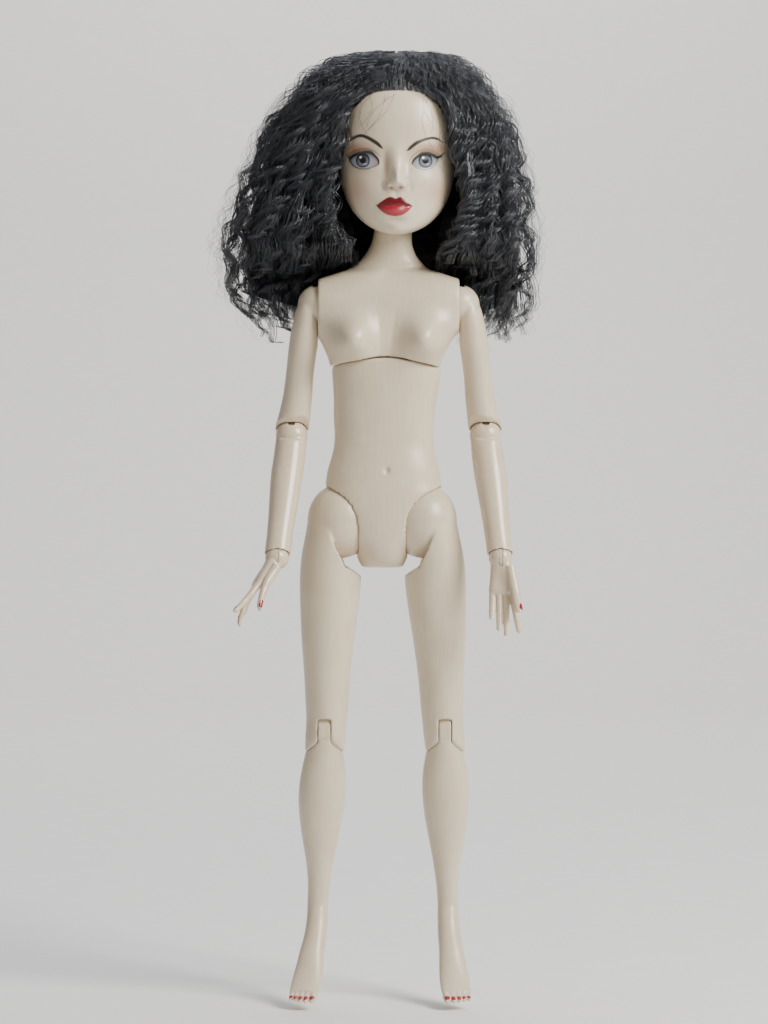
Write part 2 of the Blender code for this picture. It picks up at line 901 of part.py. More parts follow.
arm_shares = (
    (-0.03, 0.06, 1.15, 1.14, 1.14),
    (0.06, 0.05, 1.13, 1.12, 1.12),
    (0.16, 0.00, 1.06, 1.06, 1.06),
    (0.30, -0.04, 0.98, 1.04, 1.04),
    (0.46, 0.00, 0.93, 1.05, 1.06),
    (0.66, 0.12, 0.86, 1.08, 1.08),
    (0.78, 0.08, 0.88, 1.12, 1.12),
    (0.88, 0.06, 0.82, 1.14, 1.14),
    (0.97, 0.08, 0.68, 1.04, 1.04),
    (1.05, 0.04, 0.44, 0.80, 0.80),
)


def make_upper_arm(side, sign):
    shoulder, elbow = shoulder_point(sign), elbow_point(sign)
    top = Vector((shoulder.x + sign * upper_arm_half_width * arm_top_share, arm_y, shoulder_height))
    rows = [(share, sign * shift, *rest) for share, shift, *rest in arm_shares]
    rings = rings_along(rows, elbow, top, upper_arm_half_width, upper_arm_half_width)
    mesh = loft(rings, limb_sides)
    arm = add_object(f"{side}_upper_arm", mesh, shoulder, skin)
    plane = shoulder.x + sign * gap / 2
    far = plane - sign * overrun
    wall = [(plane, 0), (far, 0), (far, 1), (plane, 1)]
    wall = [(x, shoulder.z + (share - 0.5) * 3 * overrun) for x, share in wall]
    cut(arm, add_tool(f"{side}_shoulder_plane", prism(wall, 1, shoulder.y, 2 * overrun)))
    cap_shape = (shoulder_bulge / shoulder_radius, 1, 1)
    cap = ball(shoulder, shoulder_radius, ball_sides, cap_shape)
    join(arm, add_tool(f"{side}_shoulder_cap", cap))
    cut_side_slot(
        arm,
        f"{side}_shoulder",
        shoulder,
        sign,
        shoulder_tongue,
        shoulder_radius * side_disc_share,
        shoulder_peg_radius,
        shoulder_raise_max,
    )
    reach = shoulder_radius * side_pin_share
    cut_pin_bore(arm, f"{side}_shoulder_pin", shoulder, (0, 1, 0), pin_radius, reach)
    cut(arm, add_tool(f"{side}_elbow_seat", ball(elbow, elbow_radius + turning_gap, turning_sides)))
    low = elbow.z + elbow_rim
    floor = [(-overrun, low - overrun), (overrun, low - overrun), (overrun, low), (-overrun, low)]
    floor = [(elbow.y + y, z) for y, z in floor]
    cut(arm, add_tool(f"{side}_elbow_rim", prism(floor, 0, elbow.x, overrun)))
    for turn in (-elbow_twist_max, 0, elbow_twist_max):
        wedge = prism(sector((0, 0), *elbow_front_angles, overrun / 2), 0, 0, overrun)
        place = Matrix.Translation(elbow) @ Matrix.Rotation(turn, 4, "Z")
        bmesh.ops.transform(wedge, matrix=place, verts=wedge.verts)
        cut(arm, add_tool(f"{side}_elbow_front_{round(turn * 10)}", wedge))
    bore_top = elbow + Vector((0, 0, elbow_peg_reach + gap))
    cut(arm, add_tool(f"{side}_elbow_bore", rod(elbow, bore_top, elbow_peg_radius + gap)))
    return arm


forearm_shares = (
    (0.02, 0.0, 0.83, 0.80, 0.80),
    (0.12, 0.0, 0.81, 0.77, 0.77),
    (0.30, 0.0, 0.85, 0.80, 0.80),
    (0.50, 0.0, 0.95, 0.90, 0.90),
    (0.66, 0.0, 1.02, 0.97, 0.97),
    (0.80, -0.02, 1.02, 0.99, 0.99),
    (0.92, -0.01, 1.0, 0.98, 0.98),
    (1.0, 0.0, 0.97, 0.97, 0.97),
)


def make_forearm(side, sign):
    elbow, wrist = elbow_point(sign), wrist_point(sign)
    rows = [(share, sign * shift, *rest) for share, shift, *rest in forearm_shares]
    rings = rings_along(rows, wrist, elbow, forearm_half_width, forearm_half_width)
    mesh = loft(rings, limb_sides)
    forearm = add_object(f"{side}_forearm", mesh, elbow, gloss_skin)
    fold = sector((elbow.y, elbow.z), *elbow_fold_angles, overrun / 2)
    cut(forearm, add_tool(f"{side}_elbow_fold", prism(fold, 0, elbow.x, overrun)))
    join(forearm, add_tool(f"{side}_elbow_dome", ball(elbow, elbow_radius, disc_sides)))
    cut_end_slot(forearm, f"{side}_elbow", elbow, elbow_tongue, elbow_radius)
    cut_pin_bore(forearm, f"{side}_elbow_pin", elbow, (1, 0, 0), pin_radius, elbow_radius * end_pin_share)
    low = wrist.z + wrist_rim
    floor = [(-overrun, low - overrun), (overrun, low - overrun), (overrun, low), (-overrun, low)]
    floor = [(wrist.y + y, z) for y, z in floor]
    cut(forearm, add_tool(f"{side}_wrist_rim", prism(floor, 0, wrist.x, overrun)))
    cut(forearm, add_tool(f"{side}_wrist_seat", ball(wrist, wrist_radius + turning_gap, disc_sides)))
    bore_top = wrist + Vector((0, 0, wrist_peg_reach + gap))
    cut(forearm, add_tool(f"{side}_wrist_bore", rod(wrist, bore_top, wrist_peg_radius + gap)))
    return forearm


# Rows: share of the way down the palm, shift, half width, front and back as shares of the palm's sizes
palm_shares = (
    (0.10, 0.0, 0.76, 1.55, 1.55),
    (0.25, 0.0, 0.80, 1.40, 1.40),
    (0.45, 0.02, 0.86, 1.20, 1.20),
    (0.68, 0.03, 0.95, 1.12, 1.14),
    (0.88, 0.0, 1.0, 1.05, 1.05),
    (1.0, 0.0, 0.96, 0.85, 0.85),
    (1.06, 0.0, 0.86, 0.50, 0.50),
)

thumb_root_shares = (0.74, 0.80, 0.24)
thumb_splay = 9
thumb_curl = 14

# A finger: its place across the palm, how far its root hangs, its length, its splay and its curl
fingers = (
    ("index", 0.72, 0.90, 0.93, 7, 8),
    ("middle", 0.26, 0.96, 1.0, 0, 14),
    ("ring", -0.24, 0.93, 0.92, -1, 17),
    ("little", -0.70, 0.82, 0.74, -3, 20),
)


def make_finger(root, length, radius, splay, curl):
    """Returns a tapering finger of three joints that hangs from its root and curls a little to the palm."""
    place, lean = Vector(root), 0.0
    rings = []
    for bend, share, width in zip(finger_bend_shares, finger_joint_shares, finger_width_shares):
        lean += radians(curl) * bend
        rings.append((place.copy(), lean, radius * width))
        step = Vector((sin(radians(splay)), -sin(lean), -cos(lean)))
        place = place + step * length * share
    end_radius = radius * finger_width_shares[-1]
    rings.append((place.copy(), lean, end_radius))
    tip = place + Vector((0, -sin(lean), -cos(lean))) * radius * fingertip_share
    rings.append((tip, lean, end_radius / 3))
    made = [Ring(at.x, at.y, at.z, size, size, size, -lean, 2.0) for at, lean, size in rings]
    return loft(made, finger_sides)


def hand_turn(side):
    """Returns how the hand lies on its wrist: its sideways lean, its forward lean and its turn."""
    return right_hand_turn if side == "right" else left_hand_turn


def make_hand(side, sign):
    """Makes a hand in its own frame, palm to -Y and thumb to +X, then turns it to its rest pose."""
    wrist = wrist_point(sign)
    lean, forward, turn = hand_turn(side)
    mirror = 1 if side == "left" else -1
    place = (
        Matrix.Translation(wrist)
        @ Matrix.Rotation(lean, 4, "Y")
        @ Matrix.Rotation(forward, 4, "X")
        @ Matrix.Rotation(turn, 4, "Z")
        @ Matrix.Diagonal((mirror, 1, 1, 1))
    )
    pieces = []
    hang_end = (0, 0, -palm_length)
    rows = rings_along(
        palm_shares, (0, 0, 0), hang_end, palm_half_width, palm_half_depth, palm_squareness
    )
    pieces.append(("palm", loft(rows, palm_sides)))
    for name, across, hang, length, splay, curl in fingers:
        root = (across * palm_half_width, 0, -palm_length * hang)
        pieces.append(
            (name, make_finger(root, finger_length * length, finger_radius, splay, curl))
        )
    across, ahead, hang = thumb_root_shares
    thumb_root = (across * palm_half_width, -ahead * palm_half_depth, -hang * palm_length)
    thumb = make_finger(thumb_root, thumb_length, thumb_radius, thumb_splay, thumb_curl)
    pieces.append(("thumb", thumb))
    tools = []
    for name, mesh in pieces:
        bmesh.ops.transform(mesh, matrix=place, verts=mesh.verts)
        if name == "palm":
            hand = add_object(f"{side}_hand", mesh, wrist, gloss_skin)
        else:
            tools.append(add_tool(f"{side}_{name}", mesh))
    join(hand, *tools)
    join(hand, add_tool(f"{side}_wrist_dome", ball(wrist, wrist_radius, ball_sides)))
    cut_end_slot(hand, f"{side}_wrist", wrist, wrist_tongue, wrist_radius)
    cut_pin_bore(hand, f"{side}_wrist_pin", wrist, (1, 0, 0), wrist_pin_radius, wrist_radius * end_pin_share)
    return hand


thigh_shares = (
    (-0.10, -0.04, 0.63, 0.62, 0.64),
    (-0.045, -0.04, 0.65, 0.66, 0.68),
    (0.05, -0.04, 0.66, 0.68, 0.68),
    (0.13, -0.01, 0.69, 0.72, 0.72),
    (0.28, 0.05, 0.75, 0.80, 0.79),
    (0.43, 0.10, 0.845, 0.88, 0.87),
    (0.585, 0.127, 0.935, 0.96, 0.96),
    (0.70, 0.15, 0.98, 1.02, 1.03),
    (0.82, 0.175, 0.97, 1.09, 1.10),
    (0.92, 0.18, 0.895, 1.11, 1.11),
    (1.0, 0.25, 0.76, 1.04, 1.04),
    (1.06, 0.34, 0.56, 0.86, 0.86),
)


def make_thigh(side, sign):
    hip, knee = hip_point(sign), knee_point(sign)
    rows = [(share, sign * shift, *rest) for share, shift, *rest in thigh_shares]
    rings = rings_along(rows, knee, hip, thigh_half_width, thigh_half_depth)
    mesh = loft(rings, thigh_sides)
    bmesh.ops.triangulate(mesh, faces=mesh.faces)
    thigh = add_object(f"{side}_thigh", mesh, hip, skin)
    notch = [
        (hip.x - sign * overrun, notch_radius),
        (hip_centre_x + sign * notch_inner_x, notch_radius),
        (hip_centre_x + sign * (notch_inner_x + gap), notch_radius - crease_step),
        (hip_centre_x + sign * crease_outer_x, crease_radius),
    ]
    cut(thigh, add_tool(f"{side}_hip_notch", spindle(notch, hip, notch_sides)))
    lobe = ball(hip, hip_radius, turning_sides)
    for vert in lobe.verts:
        if sign * (vert.co.x - hip.x) > 0:
            vert.co.x = hip.x + (vert.co.x - hip.x) * hip_bulge_share
    bmesh.ops.triangulate(lobe, faces=lobe.faces)
    join(thigh, add_tool(f"{side}_hip_ball", lobe))
    disc_radius = hip_radius * hip_disc_share
    cut_side_slot(
        thigh, f"{side}_hip", hip, sign, hip_tongue, disc_radius, hip_stub_radius, hip_spread_max
    )
    cut_pin_bore(thigh, f"{side}_hip_pin", hip, (0, 1, 0), pin_radius, hip_radius * hip_pin_share)
    first, last = radians(192), radians(360 + 45)
    lobe = arc((knee.y, knee.z), knee_radius, first, last, arc_steps)
    below = [
        (knee.y - overrun, lobe[0][1]),
        *lobe,
        (knee.y + overrun * cos(last), knee.z + overrun * sin(last)),
        (knee.y + overrun, knee.z - overrun),
        (knee.y - overrun, knee.z - overrun),
    ]
    cut(thigh, add_tool(f"{side}_knee_lobe", prism(below, 0, knee.x, 2 * overrun)))
    width = knee_tongue_width + 2 * gap
    slot_radius = knee_radius + gap
    brow = pi - asin(knee_slot_top / slot_radius)
    slot = arc((knee.y, knee.z), slot_radius, brow, -pi / 2, arc_steps)
    slot += [(knee.y, knee.z - overrun), (knee.y - overrun, knee.z - overrun)]
    slot.append((knee.y - overrun, knee.z + knee_slot_top))
    cut(thigh, add_tool(f"{side}_knee_slot", prism(slot, 0, knee.x, width)))
    cut_pin_bore(thigh, f"{side}_knee_pin", knee, (1, 0, 0), pin_radius, knee_radius * end_pin_share)
    return thigh


shin_shares = (
    (0.0, 0.0, 0.48, 0.46, 0.50),
    (0.10, -0.02, 0.51, 0.48, 0.55),
    (0.23, -0.02, 0.63, 0.56, 0.70),
    (0.37, 0.0, 0.79, 0.68, 0.92),
    (0.50, 0.0, 0.94, 0.80, 1.10),
    (0.63, 0.0, 1.01, 0.87, 1.18),
    (0.76, -0.02, 0.96, 0.88, 1.08),
    (0.88, -0.02, 0.86, 0.90, 0.96),
    (0.98, 0.0, 0.84, 0.92, 0.92),
    (1.10, 0.0, 0.84, 0.92, 0.92),
)

# A foot row: how far down and forward it lies, its pitch, and its half width, top and sole
foot_shares = (
    (0.0, 0.02, 6, 0.71, 0.70, 0.74),
    (0.12, 0.03, 16, 0.71, 0.74, 0.86),
    (0.26, 0.10, 32, 0.74, 0.76, 1.08),
    (0.40, 0.22, 44, 0.78, 0.74, 0.98),
    (0.54, 0.36, 50, 0.84, 0.70, 0.74),
    (0.68, 0.50, 53, 0.93, 0.62, 0.60),
    (0.80, 0.65, 60, 1.0, 0.50, 0.52),
    (0.89, 0.80, 72, 1.0, 0.36, 0.40),
    (0.935, 0.90, 80, 0.95, 0.26, 0.28),
)
toe_rows = (
    (-0.74, 1.12, 1.0),
    (-0.33, 0.98, 1.06),
    (0.05, 0.92, 1.0),
    (0.40, 0.86, 0.90),
    (0.74, 0.82, 0.76),
)


def make_shin(side, sign):
    knee, ankle = knee_point(sign), ankle_point(sign)
    rows = [(share, sign * shift, *rest) for share, shift, *rest in shin_shares]
    upper = rings_along(rows, ankle, knee, calf_half_width, calf_half_width)
    rings = upper[::-1]
    foot = []
    for down, ahead, pitch, width, top, sole in foot_shares[1:]:
        foot.append(
            Ring(
                ankle.x,
                ankle.y - ahead * foot_reach,
                ankle.z - down * foot_drop,
                width * foot_half_width,
                top * foot_half_width,
                sole * foot_half_width,
                radians(pitch),
                2.0,
            )
        )
    rings = rings + foot
    mesh = loft(rings, limb_sides)
    toe_out = sign * (left_toe_out if side == "left" else right_toe_out)
    for vert in mesh.verts:
        drop = max(0.0, (ankle.z - vert.co.z) / foot_drop)
        turn = Matrix.Rotation(toe_out * min(1.0, drop * 2), 3, "Z")
        vert.co = ankle + turn @ (vert.co - ankle)
    shin = add_object(f"{side}_shin", mesh, knee, skin)
    turn = Matrix.Rotation(toe_out, 3, "Z")
    for index, (across, size, length) in enumerate(toe_rows):
        ahead, drop = foot_reach * toe_ahead_share, foot_drop * toe_drop_share
        start = Vector((sign * across * foot_half_width, -ahead, -drop))
        end = start + Vector((0, -toe_length * length, -toe_radius))
        thick = toe_radius * size
        toe = ball((0, 0, 0), 1, toe_sides, (thick, toe_length * length * toe_egg_share, thick))
        tilt = Matrix.Rotation(toe_tilt, 3, "X")
        for vert in toe.verts:
            vert.co = ankle + turn @ ((start + end) / 2 + tilt @ vert.co)
        join(shin, add_tool(f"{side}_toe_{index}", toe))
    whole = Vector((overrun, 0, 0))
    cut(shin, add_tool(f"{side}_knee_cup", rod(knee - whole, knee + whole, knee_radius + gap, notch_sides)))
    above = sector((knee.y, knee.z), *knee_front_angles, overrun)
    above += sector((knee.y, knee.z), *knee_back_angles, overrun)[1:]
    cut(shin, add_tool(f"{side}_shin_rim", prism(above, 0, knee.x, 2 * overrun)))
    tongue = arc((knee.y, knee.z), knee_radius, *knee_disc_angles, arc_steps)
    stem_end = knee.z - knee_radius * stem_share
    tongue += [(knee.y - knee_radius / 2, stem_end), (knee.y + knee_radius / 2, stem_end)]
    join(shin, add_tool(f"{side}_knee_tongue", prism(tongue, 0, knee.x, knee_tongue_width)))
    cut(shin, add_tool(f"{side}_knee_eye", rod(knee - whole, knee + whole, pin_radius + gap)))
    return shin


# Rows: share of the way down the wig, its middle, its half width, and how far its front has drawn back
wig_shares = (
    (0.0, 0.05, 0.18, 0.75, 0.35),
    (0.012, 0.04, 0.36, 0.62, 0.55),
    (0.04, 0.04, 0.50, 0.40, 0.72),
    (0.09, 0.05, 0.615, 0.20, 0.86),
    (0.175, 0.05, 0.71, 0.06, 0.96),
    (0.28, 0.035, 0.81, 0.0, 1.0),
    (0.385, 0.022, 0.875, 0.0, 1.02),
    (0.49, 0.0, 0.93, 0.02, 1.04),
    (0.59, -0.02, 0.975, 0.30, 1.04),
    (0.68, -0.04, 1.0, 0.80, 1.02),
    (0.72, -0.04, 1.01, 1.0, 1.0),
    (0.80, -0.02, 0.985, 1.0, 0.98),
    (0.90, 0.015, 0.93, 1.0, 0.94),
    (0.955, 0.035, 0.885, 1.04, 0.88),
    (0.985, 0.045, 0.80, 1.10, 0.80),
    (1.0, 0.05, 0.66, 1.2, 0.70),
)
wig_drawn_front = 0.0155


def make_wig():
    """Makes the wig as one mass over the skull, then parts it into the crown, two sides and the back."""
    made = []
    for share, shift, width, drawn, back in wig_shares:
        front_y = -wig_front + drawn * (wig_front + wig_drawn_front)
        back_y = wig_back * back
        if share < wig_top_share:
            front_y = head_centre_y - wig_top_front * (1 - drawn)
            back_y = head_centre_y + wig_back * back
        middle = (front_y + back_y) / 2
        made.append(
            Ring(
                shift * wig_half_width,
                middle,
                hair_top_height - share * (hair_top_height - hair_tip_height),
                width * wig_half_width,
                middle - front_y,
                back_y - middle,
                0,
                wig_squareness,
            )
        )
    rings = smooth_rings(made, 2)
    mesh = loft(rings, wig_sides)
    span = hair_top_height - hair_tip_height
    for vert in mesh.verts:
        drop = (hair_top_height - vert.co.z) / span
        side = vert.co.x / wig_half_width
        rear = max(0.0, vert.co.y - wig_inner_half_width) / wig_back
        wave = sin(2 * pi * curl_count * drop + curl_lag * atan2(vert.co.y, vert.co.x))
        wave *= curl_depth * min(1.0, drop * curl_growth)
        vert.co.x += wave * side
        vert.co.y += wave * rear
    skull = add_tool("wig_skull", loft(head_rings(wig_clearance), wig_sides))
    middle_z = (wig_opening_low + wig_opening_high) / 2
    half_height = (wig_opening_high - wig_opening_low) / 2
    outline = []
    for step in range(wig_sides):
        angle = 2 * pi * step / wig_sides
        across = abs(cos(angle)) ** opening_squareness * (1 if cos(angle) > 0 else -1)
        outline.append(
            (face_centre_x + wig_opening_half_width * across, middle_z + half_height * sin(angle))
        )
    face = add_tool("wig_face_opening", prism(outline, 1, -wig_front, wig_front * 2 + overrun))
    low = neck_pivot - Vector((0, 0, overrun))
    neck_tool = add_tool("wig_neck_way", rod(low, neck_pivot, neck_radius * neck_way_share, ball_sides))
    crown_low = (0, 0, wig_crown_cut + gap / 2), (0, 0, -1)
    crown_high = (0, 0, wig_crown_cut - gap / 2), (0, 0, 1)
    parting_right = face_centre_x - wig_inner_half_width
    parting_left = face_centre_x + wig_inner_half_width
    for name, planes in (
        ("hair_crown", (crown_low,)),
        ("hair_right", (crown_high, ((parting_right - gap / 2, 0, 0), (1, 0, 0)))),
        ("hair_left", (crown_high, ((parting_left + gap / 2, 0, 0), (-1, 0, 0)))),
        (
            "hair_back",
            (
                crown_high,
                ((parting_right + gap / 2, 0, 0), (-1, 0, 0)),
                ((parting_left - gap / 2, 0, 0), (1, 0, 0)),
                ((0, wig_back_front, 0), (0, -1, 0)),
            ),
        ),
    ):
        piece_mesh = mesh.copy()
        for point, outward in planes:
            slice_off(piece_mesh, point, outward)
        piece = add_object(name, piece_mesh, neck_pivot, hair)
        cut(piece, skull, face)
        if name == "hair_back":
            cut(piece, neck_tool)
    mesh.free()


def make_doll():
    make_lower_torso()
    add_stud("waist_stud", rib_pivot, stud_ball_radius, stud_peg_radius, stud_reach)
    make_chest()
    add_stud("neck_stud", neck_pivot, neck_ball_radius, neck_peg_radius, neck_peg_reach)
    make_head()
    make_wig()
    for side, sign in sides:
        shoulder, elbow, wrist = shoulder_point(sign), elbow_point(sign), wrist_point(sign)
        hip, knee = hip_point(sign), knee_point(sign)
        add_side_hub(
            f"{side}_shoulder_hub",
            shoulder,
            sign,
            shoulder_tongue,
            shoulder_radius * side_disc_share,
            shoulder_peg_radius,
            shoulder_peg_reach,
        )
        add_pin(f"{side}_shoulder_pin", shoulder, (0, 1, 0), pin_radius, shoulder_radius * side_pin_share)
        make_upper_arm(side, sign)
        add_pin(f"{side}_hip_pin", hip, (0, 1, 0), pin_radius, hip_radius * hip_pin_share)
        make_thigh(side, sign)
        add_pin(f"{side}_knee_pin", knee, (1, 0, 0), pin_radius, knee_radius * end_pin_share)
        make_shin(side, sign)
        add_side_hub(
            f"{side}_hip_hub",
            hip,
            sign,
            hip_tongue,
            hip_radius * hip_disc_share,
            hip_stub_radius,
            hip_stub_reach,
        )
        add_end_hub(
            f"{side}_elbow_hub",
            elbow,
            elbow_tongue,
            elbow_radius,
            elbow_peg_radius,
            elbow_peg_reach,
            pin_radius,
        )
        before = set(bpy.data.objects)
        add_pin(f"{side}_elbow_pin", elbow, (1, 0, 0), pin_radius, elbow_radius * end_pin_share)
        make_forearm(side, sign)
        add_end_hub(
            f"{side}_wrist_hub",
            wrist,
            wrist_tongue,
            wrist_radius,
            wrist_peg_radius,
            wrist_peg_reach,
            wrist_pin_radius,
        )
        add_pin(f"{side}_wrist_pin", wrist, (1, 0, 0), wrist_pin_radius, wrist_radius * end_pin_share)
        make_hand(side, sign)
        lower_arm = set(bpy.data.objects) - before
        carrier = add_carrier(f"{side}_elbow_empty", elbow, forearm_rest_bend)
        hang_on(carrier, lower_arm)


make_doll()
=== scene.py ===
"""Dresses the jointed fashion doll's CAD frame: vinyl skin, painted face and nails, and a curly wig.

Metres, in the frame's own axes: +Z up the standing doll, -Y the way it faces, +X its left side.
Each body shell repeats its CAD node's form with many more faces, about the frame's own joints.
"""

import json
import logging
from dataclasses import dataclass
from enum import Enum
from math import asin, cos, pi, radians, sin, sqrt, tan
from typing import NamedTuple, Sequence

import bmesh
import bpy
import numpy as np
from mathutils import Euler, Matrix, Vector
from mathutils.bvhtree import BVHTree


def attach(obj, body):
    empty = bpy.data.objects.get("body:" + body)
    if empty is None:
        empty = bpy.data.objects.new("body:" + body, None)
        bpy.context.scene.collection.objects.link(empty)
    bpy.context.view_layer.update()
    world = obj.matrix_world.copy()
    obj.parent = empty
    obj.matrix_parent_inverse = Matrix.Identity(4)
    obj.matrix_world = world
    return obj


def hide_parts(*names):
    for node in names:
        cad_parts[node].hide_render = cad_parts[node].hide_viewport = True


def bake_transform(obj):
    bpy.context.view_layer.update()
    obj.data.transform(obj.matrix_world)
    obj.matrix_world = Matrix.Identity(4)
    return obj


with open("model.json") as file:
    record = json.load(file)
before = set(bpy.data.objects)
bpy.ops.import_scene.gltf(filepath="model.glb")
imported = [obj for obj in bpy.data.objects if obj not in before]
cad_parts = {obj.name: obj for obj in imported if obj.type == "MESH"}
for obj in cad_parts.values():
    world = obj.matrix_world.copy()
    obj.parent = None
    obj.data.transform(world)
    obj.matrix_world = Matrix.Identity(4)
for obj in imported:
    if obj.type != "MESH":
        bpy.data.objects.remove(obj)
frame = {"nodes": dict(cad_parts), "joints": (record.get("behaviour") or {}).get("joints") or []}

logging.basicConfig(level=logging.INFO, format="%(message)s")
log = logging.getLogger("doll")
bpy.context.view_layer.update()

MM = 0.001
GAP = 0.3 * MM
TURNING_GAP = 0.45 * MM
OVERRUN = 30 * MM
UP = Vector((0, 0, 1))

# The photograph's frame: one pixel's size at the doll, and where the camera stands
PIXEL = 0.43 * MM
PHOTO_WIDTH, PHOTO_HEIGHT = 768, 1024
CAMERA_DISTANCE = 1.3
CAMERA_Z = -34 * MM

PIVOTS: dict[str, Vector] = {joint["name"]: Vector(joint["pos_m"]) for joint in frame["joints"]}


class Side(Enum):
    """The doll's own right and left, with the sign of X there."""

    RIGHT = -1
    LEFT = 1

    @property
    def word(self) -> str:
        """The side's word in node, joint and body names."""
        return self.name.lower()


class Slot(Enum):
    """The record's material slots, passed along with the scene's own pieces."""

    SKIN = "skin"
    GLOSS_SKIN = "gloss_skin"
    FITTING = "fitting"
    HAIR = "hair"


class Ring(NamedTuple):
    """One cross-section of a loft."""

    x: float
    y: float
    z: float
    half_width: float
    front: float
    back: float
    pitch: float
    power: float


def linear(code: str) -> tuple[float, float, float, float]:
    """Turns an sRGB hex colour into linear RGBA.

    Args:
        code: six hex digits.

    Returns:
        The linear colour with full alpha.
    """
    shares = [int(code[place : place + 2], 16) / 255 for place in (0, 2, 4)]
    red, green, blue = (c / 12.92 if c <= 0.04045 else ((c + 0.055) / 1.055) ** 2.4 for c in shares)
    return red, green, blue, 1.0


def to_pixels(points: np.ndarray) -> tuple[np.ndarray, np.ndarray]:
    """Says where points fall in the photograph's frame.

    Args:
        points: an array of places, one row each.

    Returns:
        The pixel columns and rows.
    """
    away = (CAMERA_DISTANCE + points[:, 1]) / CAMERA_DISTANCE * PIXEL
    return PHOTO_WIDTH / 2 + points[:, 0] / away, PHOTO_HEIGHT / 2 - (points[:, 2] - CAMERA_Z) / away


# Shapes


def linked(name: str, data: bpy.types.ID) -> bpy.types.Object:
    """Returns a new object in the scene that shows some data."""
    made = bpy.data.objects.new(name, data)
    bpy.context.scene.collection.objects.link(made)
    return made


def wear(item: bpy.types.Object, material: bpy.types.Material) -> None:
    """Gives an object one material."""
    item.data.materials.clear()
    item.data.materials.append(material)


def add_values(mesh: bpy.types.Mesh, name: str, values: np.ndarray) -> None:
    """Stores a number on each of a mesh's points."""
    mesh.attributes.new(name, "FLOAT", "POINT").data.foreach_set("value", values)


def unit(rows: np.ndarray) -> np.ndarray:
    """Returns rows scaled to length one."""
    return rows / np.maximum(np.linalg.norm(rows, axis=1, keepdims=True), 1e-9)


@dataclass
class Shape:
    """A closed skin as plain arrays, before it becomes a Blender object."""

    points: np.ndarray
    faces: list[tuple[int, ...]]

    def moved(self, matrix: Matrix) -> "Shape":
        """Returns the shape placed by a matrix."""
        turn = np.array(matrix.to_3x3())
        return Shape(self.points @ turn.T + np.array(matrix.translation), self.faces)

    def swell(self, centre: Sequence[float], reach: Sequence[float], push: Sequence[float]) -> None:
        """Pushes the front skin by a soft bump that fades over its reach.

        Args:
            centre: where the bump is full.
            reach: how far it fades along X, Y and Z.
            push: how far the skin moves at the centre.
        """
        away = self.points - np.array(centre)
        fall = np.exp(-((away / np.array(reach)) ** 2).sum(1))
        fall[away[:, 1] > reach[1]] = 0
        self.points += fall[:, None] * np.array(push)

    def object(self, name: str) -> bpy.types.Object:
        """Makes a Blender object of the shape, faces outwards.

        Args:
            name: the object's name.

        Returns:
            The linked object.
        """
        mesh = bpy.data.meshes.new(name)
        mesh.from_pydata(self.points.tolist(), [], self.faces)
        turned = bmesh.new()
        turned.from_mesh(mesh)
        bmesh.ops.recalc_face_normals(turned, faces=turned.faces)
        turned.to_mesh(mesh)
        turned.free()
        return linked(name, mesh)


def joined(shapes: Sequence[Shape]) -> Shape:
    """Returns several skins as one."""
    faces, start = [], 0
    for shape in shapes:
        faces += [tuple(corner + start for corner in face) for face in shape.faces]
        start += len(shape.points)
    return Shape(np.vstack([shape.points for shape in shapes]), faces)


def tube_faces(rings: int, sides: int) -> list[tuple[int, ...]]:
    """Returns the faces of a closed tube of rings, with a cap at each end."""
    faces: list[tuple[int, ...]] = []
    for low in range(rings - 1):
        for side in range(sides):
            after = (side + 1) % sides
            start, above = low * sides, (low + 1) * sides
            faces.append((start + side, start + after, above + after, above + side))
    faces.append(tuple(range(sides))[::-1])
    faces.append(tuple((rings - 1) * sides + side for side in range(sides)))
    return faces


def plate_faces(rows: int, sides: int) -> list[tuple[int, ...]]:
    """Returns the faces of a thick plate: an outer and an inner grid, closed round the rim."""
    faces: list[tuple[int, ...]] = []
    layer = rows * sides
    for row in range(rows - 1):
        for side in range(sides - 1):
            corner = row * sides + side
            quad = (corner, corner + 1, corner + sides + 1, corner + sides)
            faces += [quad, tuple(place + layer for place in reversed(quad))]
    rim = list(range(sides))
    rim += [row * sides + sides - 1 for row in range(1, rows)]
    rim += [(rows - 1) * sides + side for side in range(sides - 2, -1, -1)]
    rim += [row * sides for row in range(rows - 2, 0, -1)]
    for here, after in zip(rim, rim[1:] + rim[:1]):
        faces.append((here, here + layer, after + layer, after))
    return faces


def spline(rows: Sequence[Sequence[float]], steps: int = 12) -> np.ndarray:
    """Puts rows between the given ones, on a smooth curve through them.

    Args:
        rows: the points to pass through, each with any values that change along the curve.
        steps: how many parts each stretch gets.

    Returns:
        The finer rows.
    """
    ends = np.array(rows, dtype=float)
    ends = np.vstack([ends[:1], ends, ends[-1:]])
    made = []
    for a, b, c, d in zip(ends, ends[1:], ends[2:], ends[3:]):
        for step in range(steps):
            t = step / steps
            bend = a - 2.5 * b + 2 * c - d / 2 + t * (1.5 * (b - c) + (d - a) / 2)
            made.append(b + t * ((c - a) / 2 + t * bend))
    made.append(ends[-1])
    return np.array(made)


def smooth_rings(rings: Sequence[Ring], steps: int) -> list[Ring]:
    """Returns more rings, on a smooth curve through the given ones."""
    return [Ring(*row) for row in spline(rings, steps)]


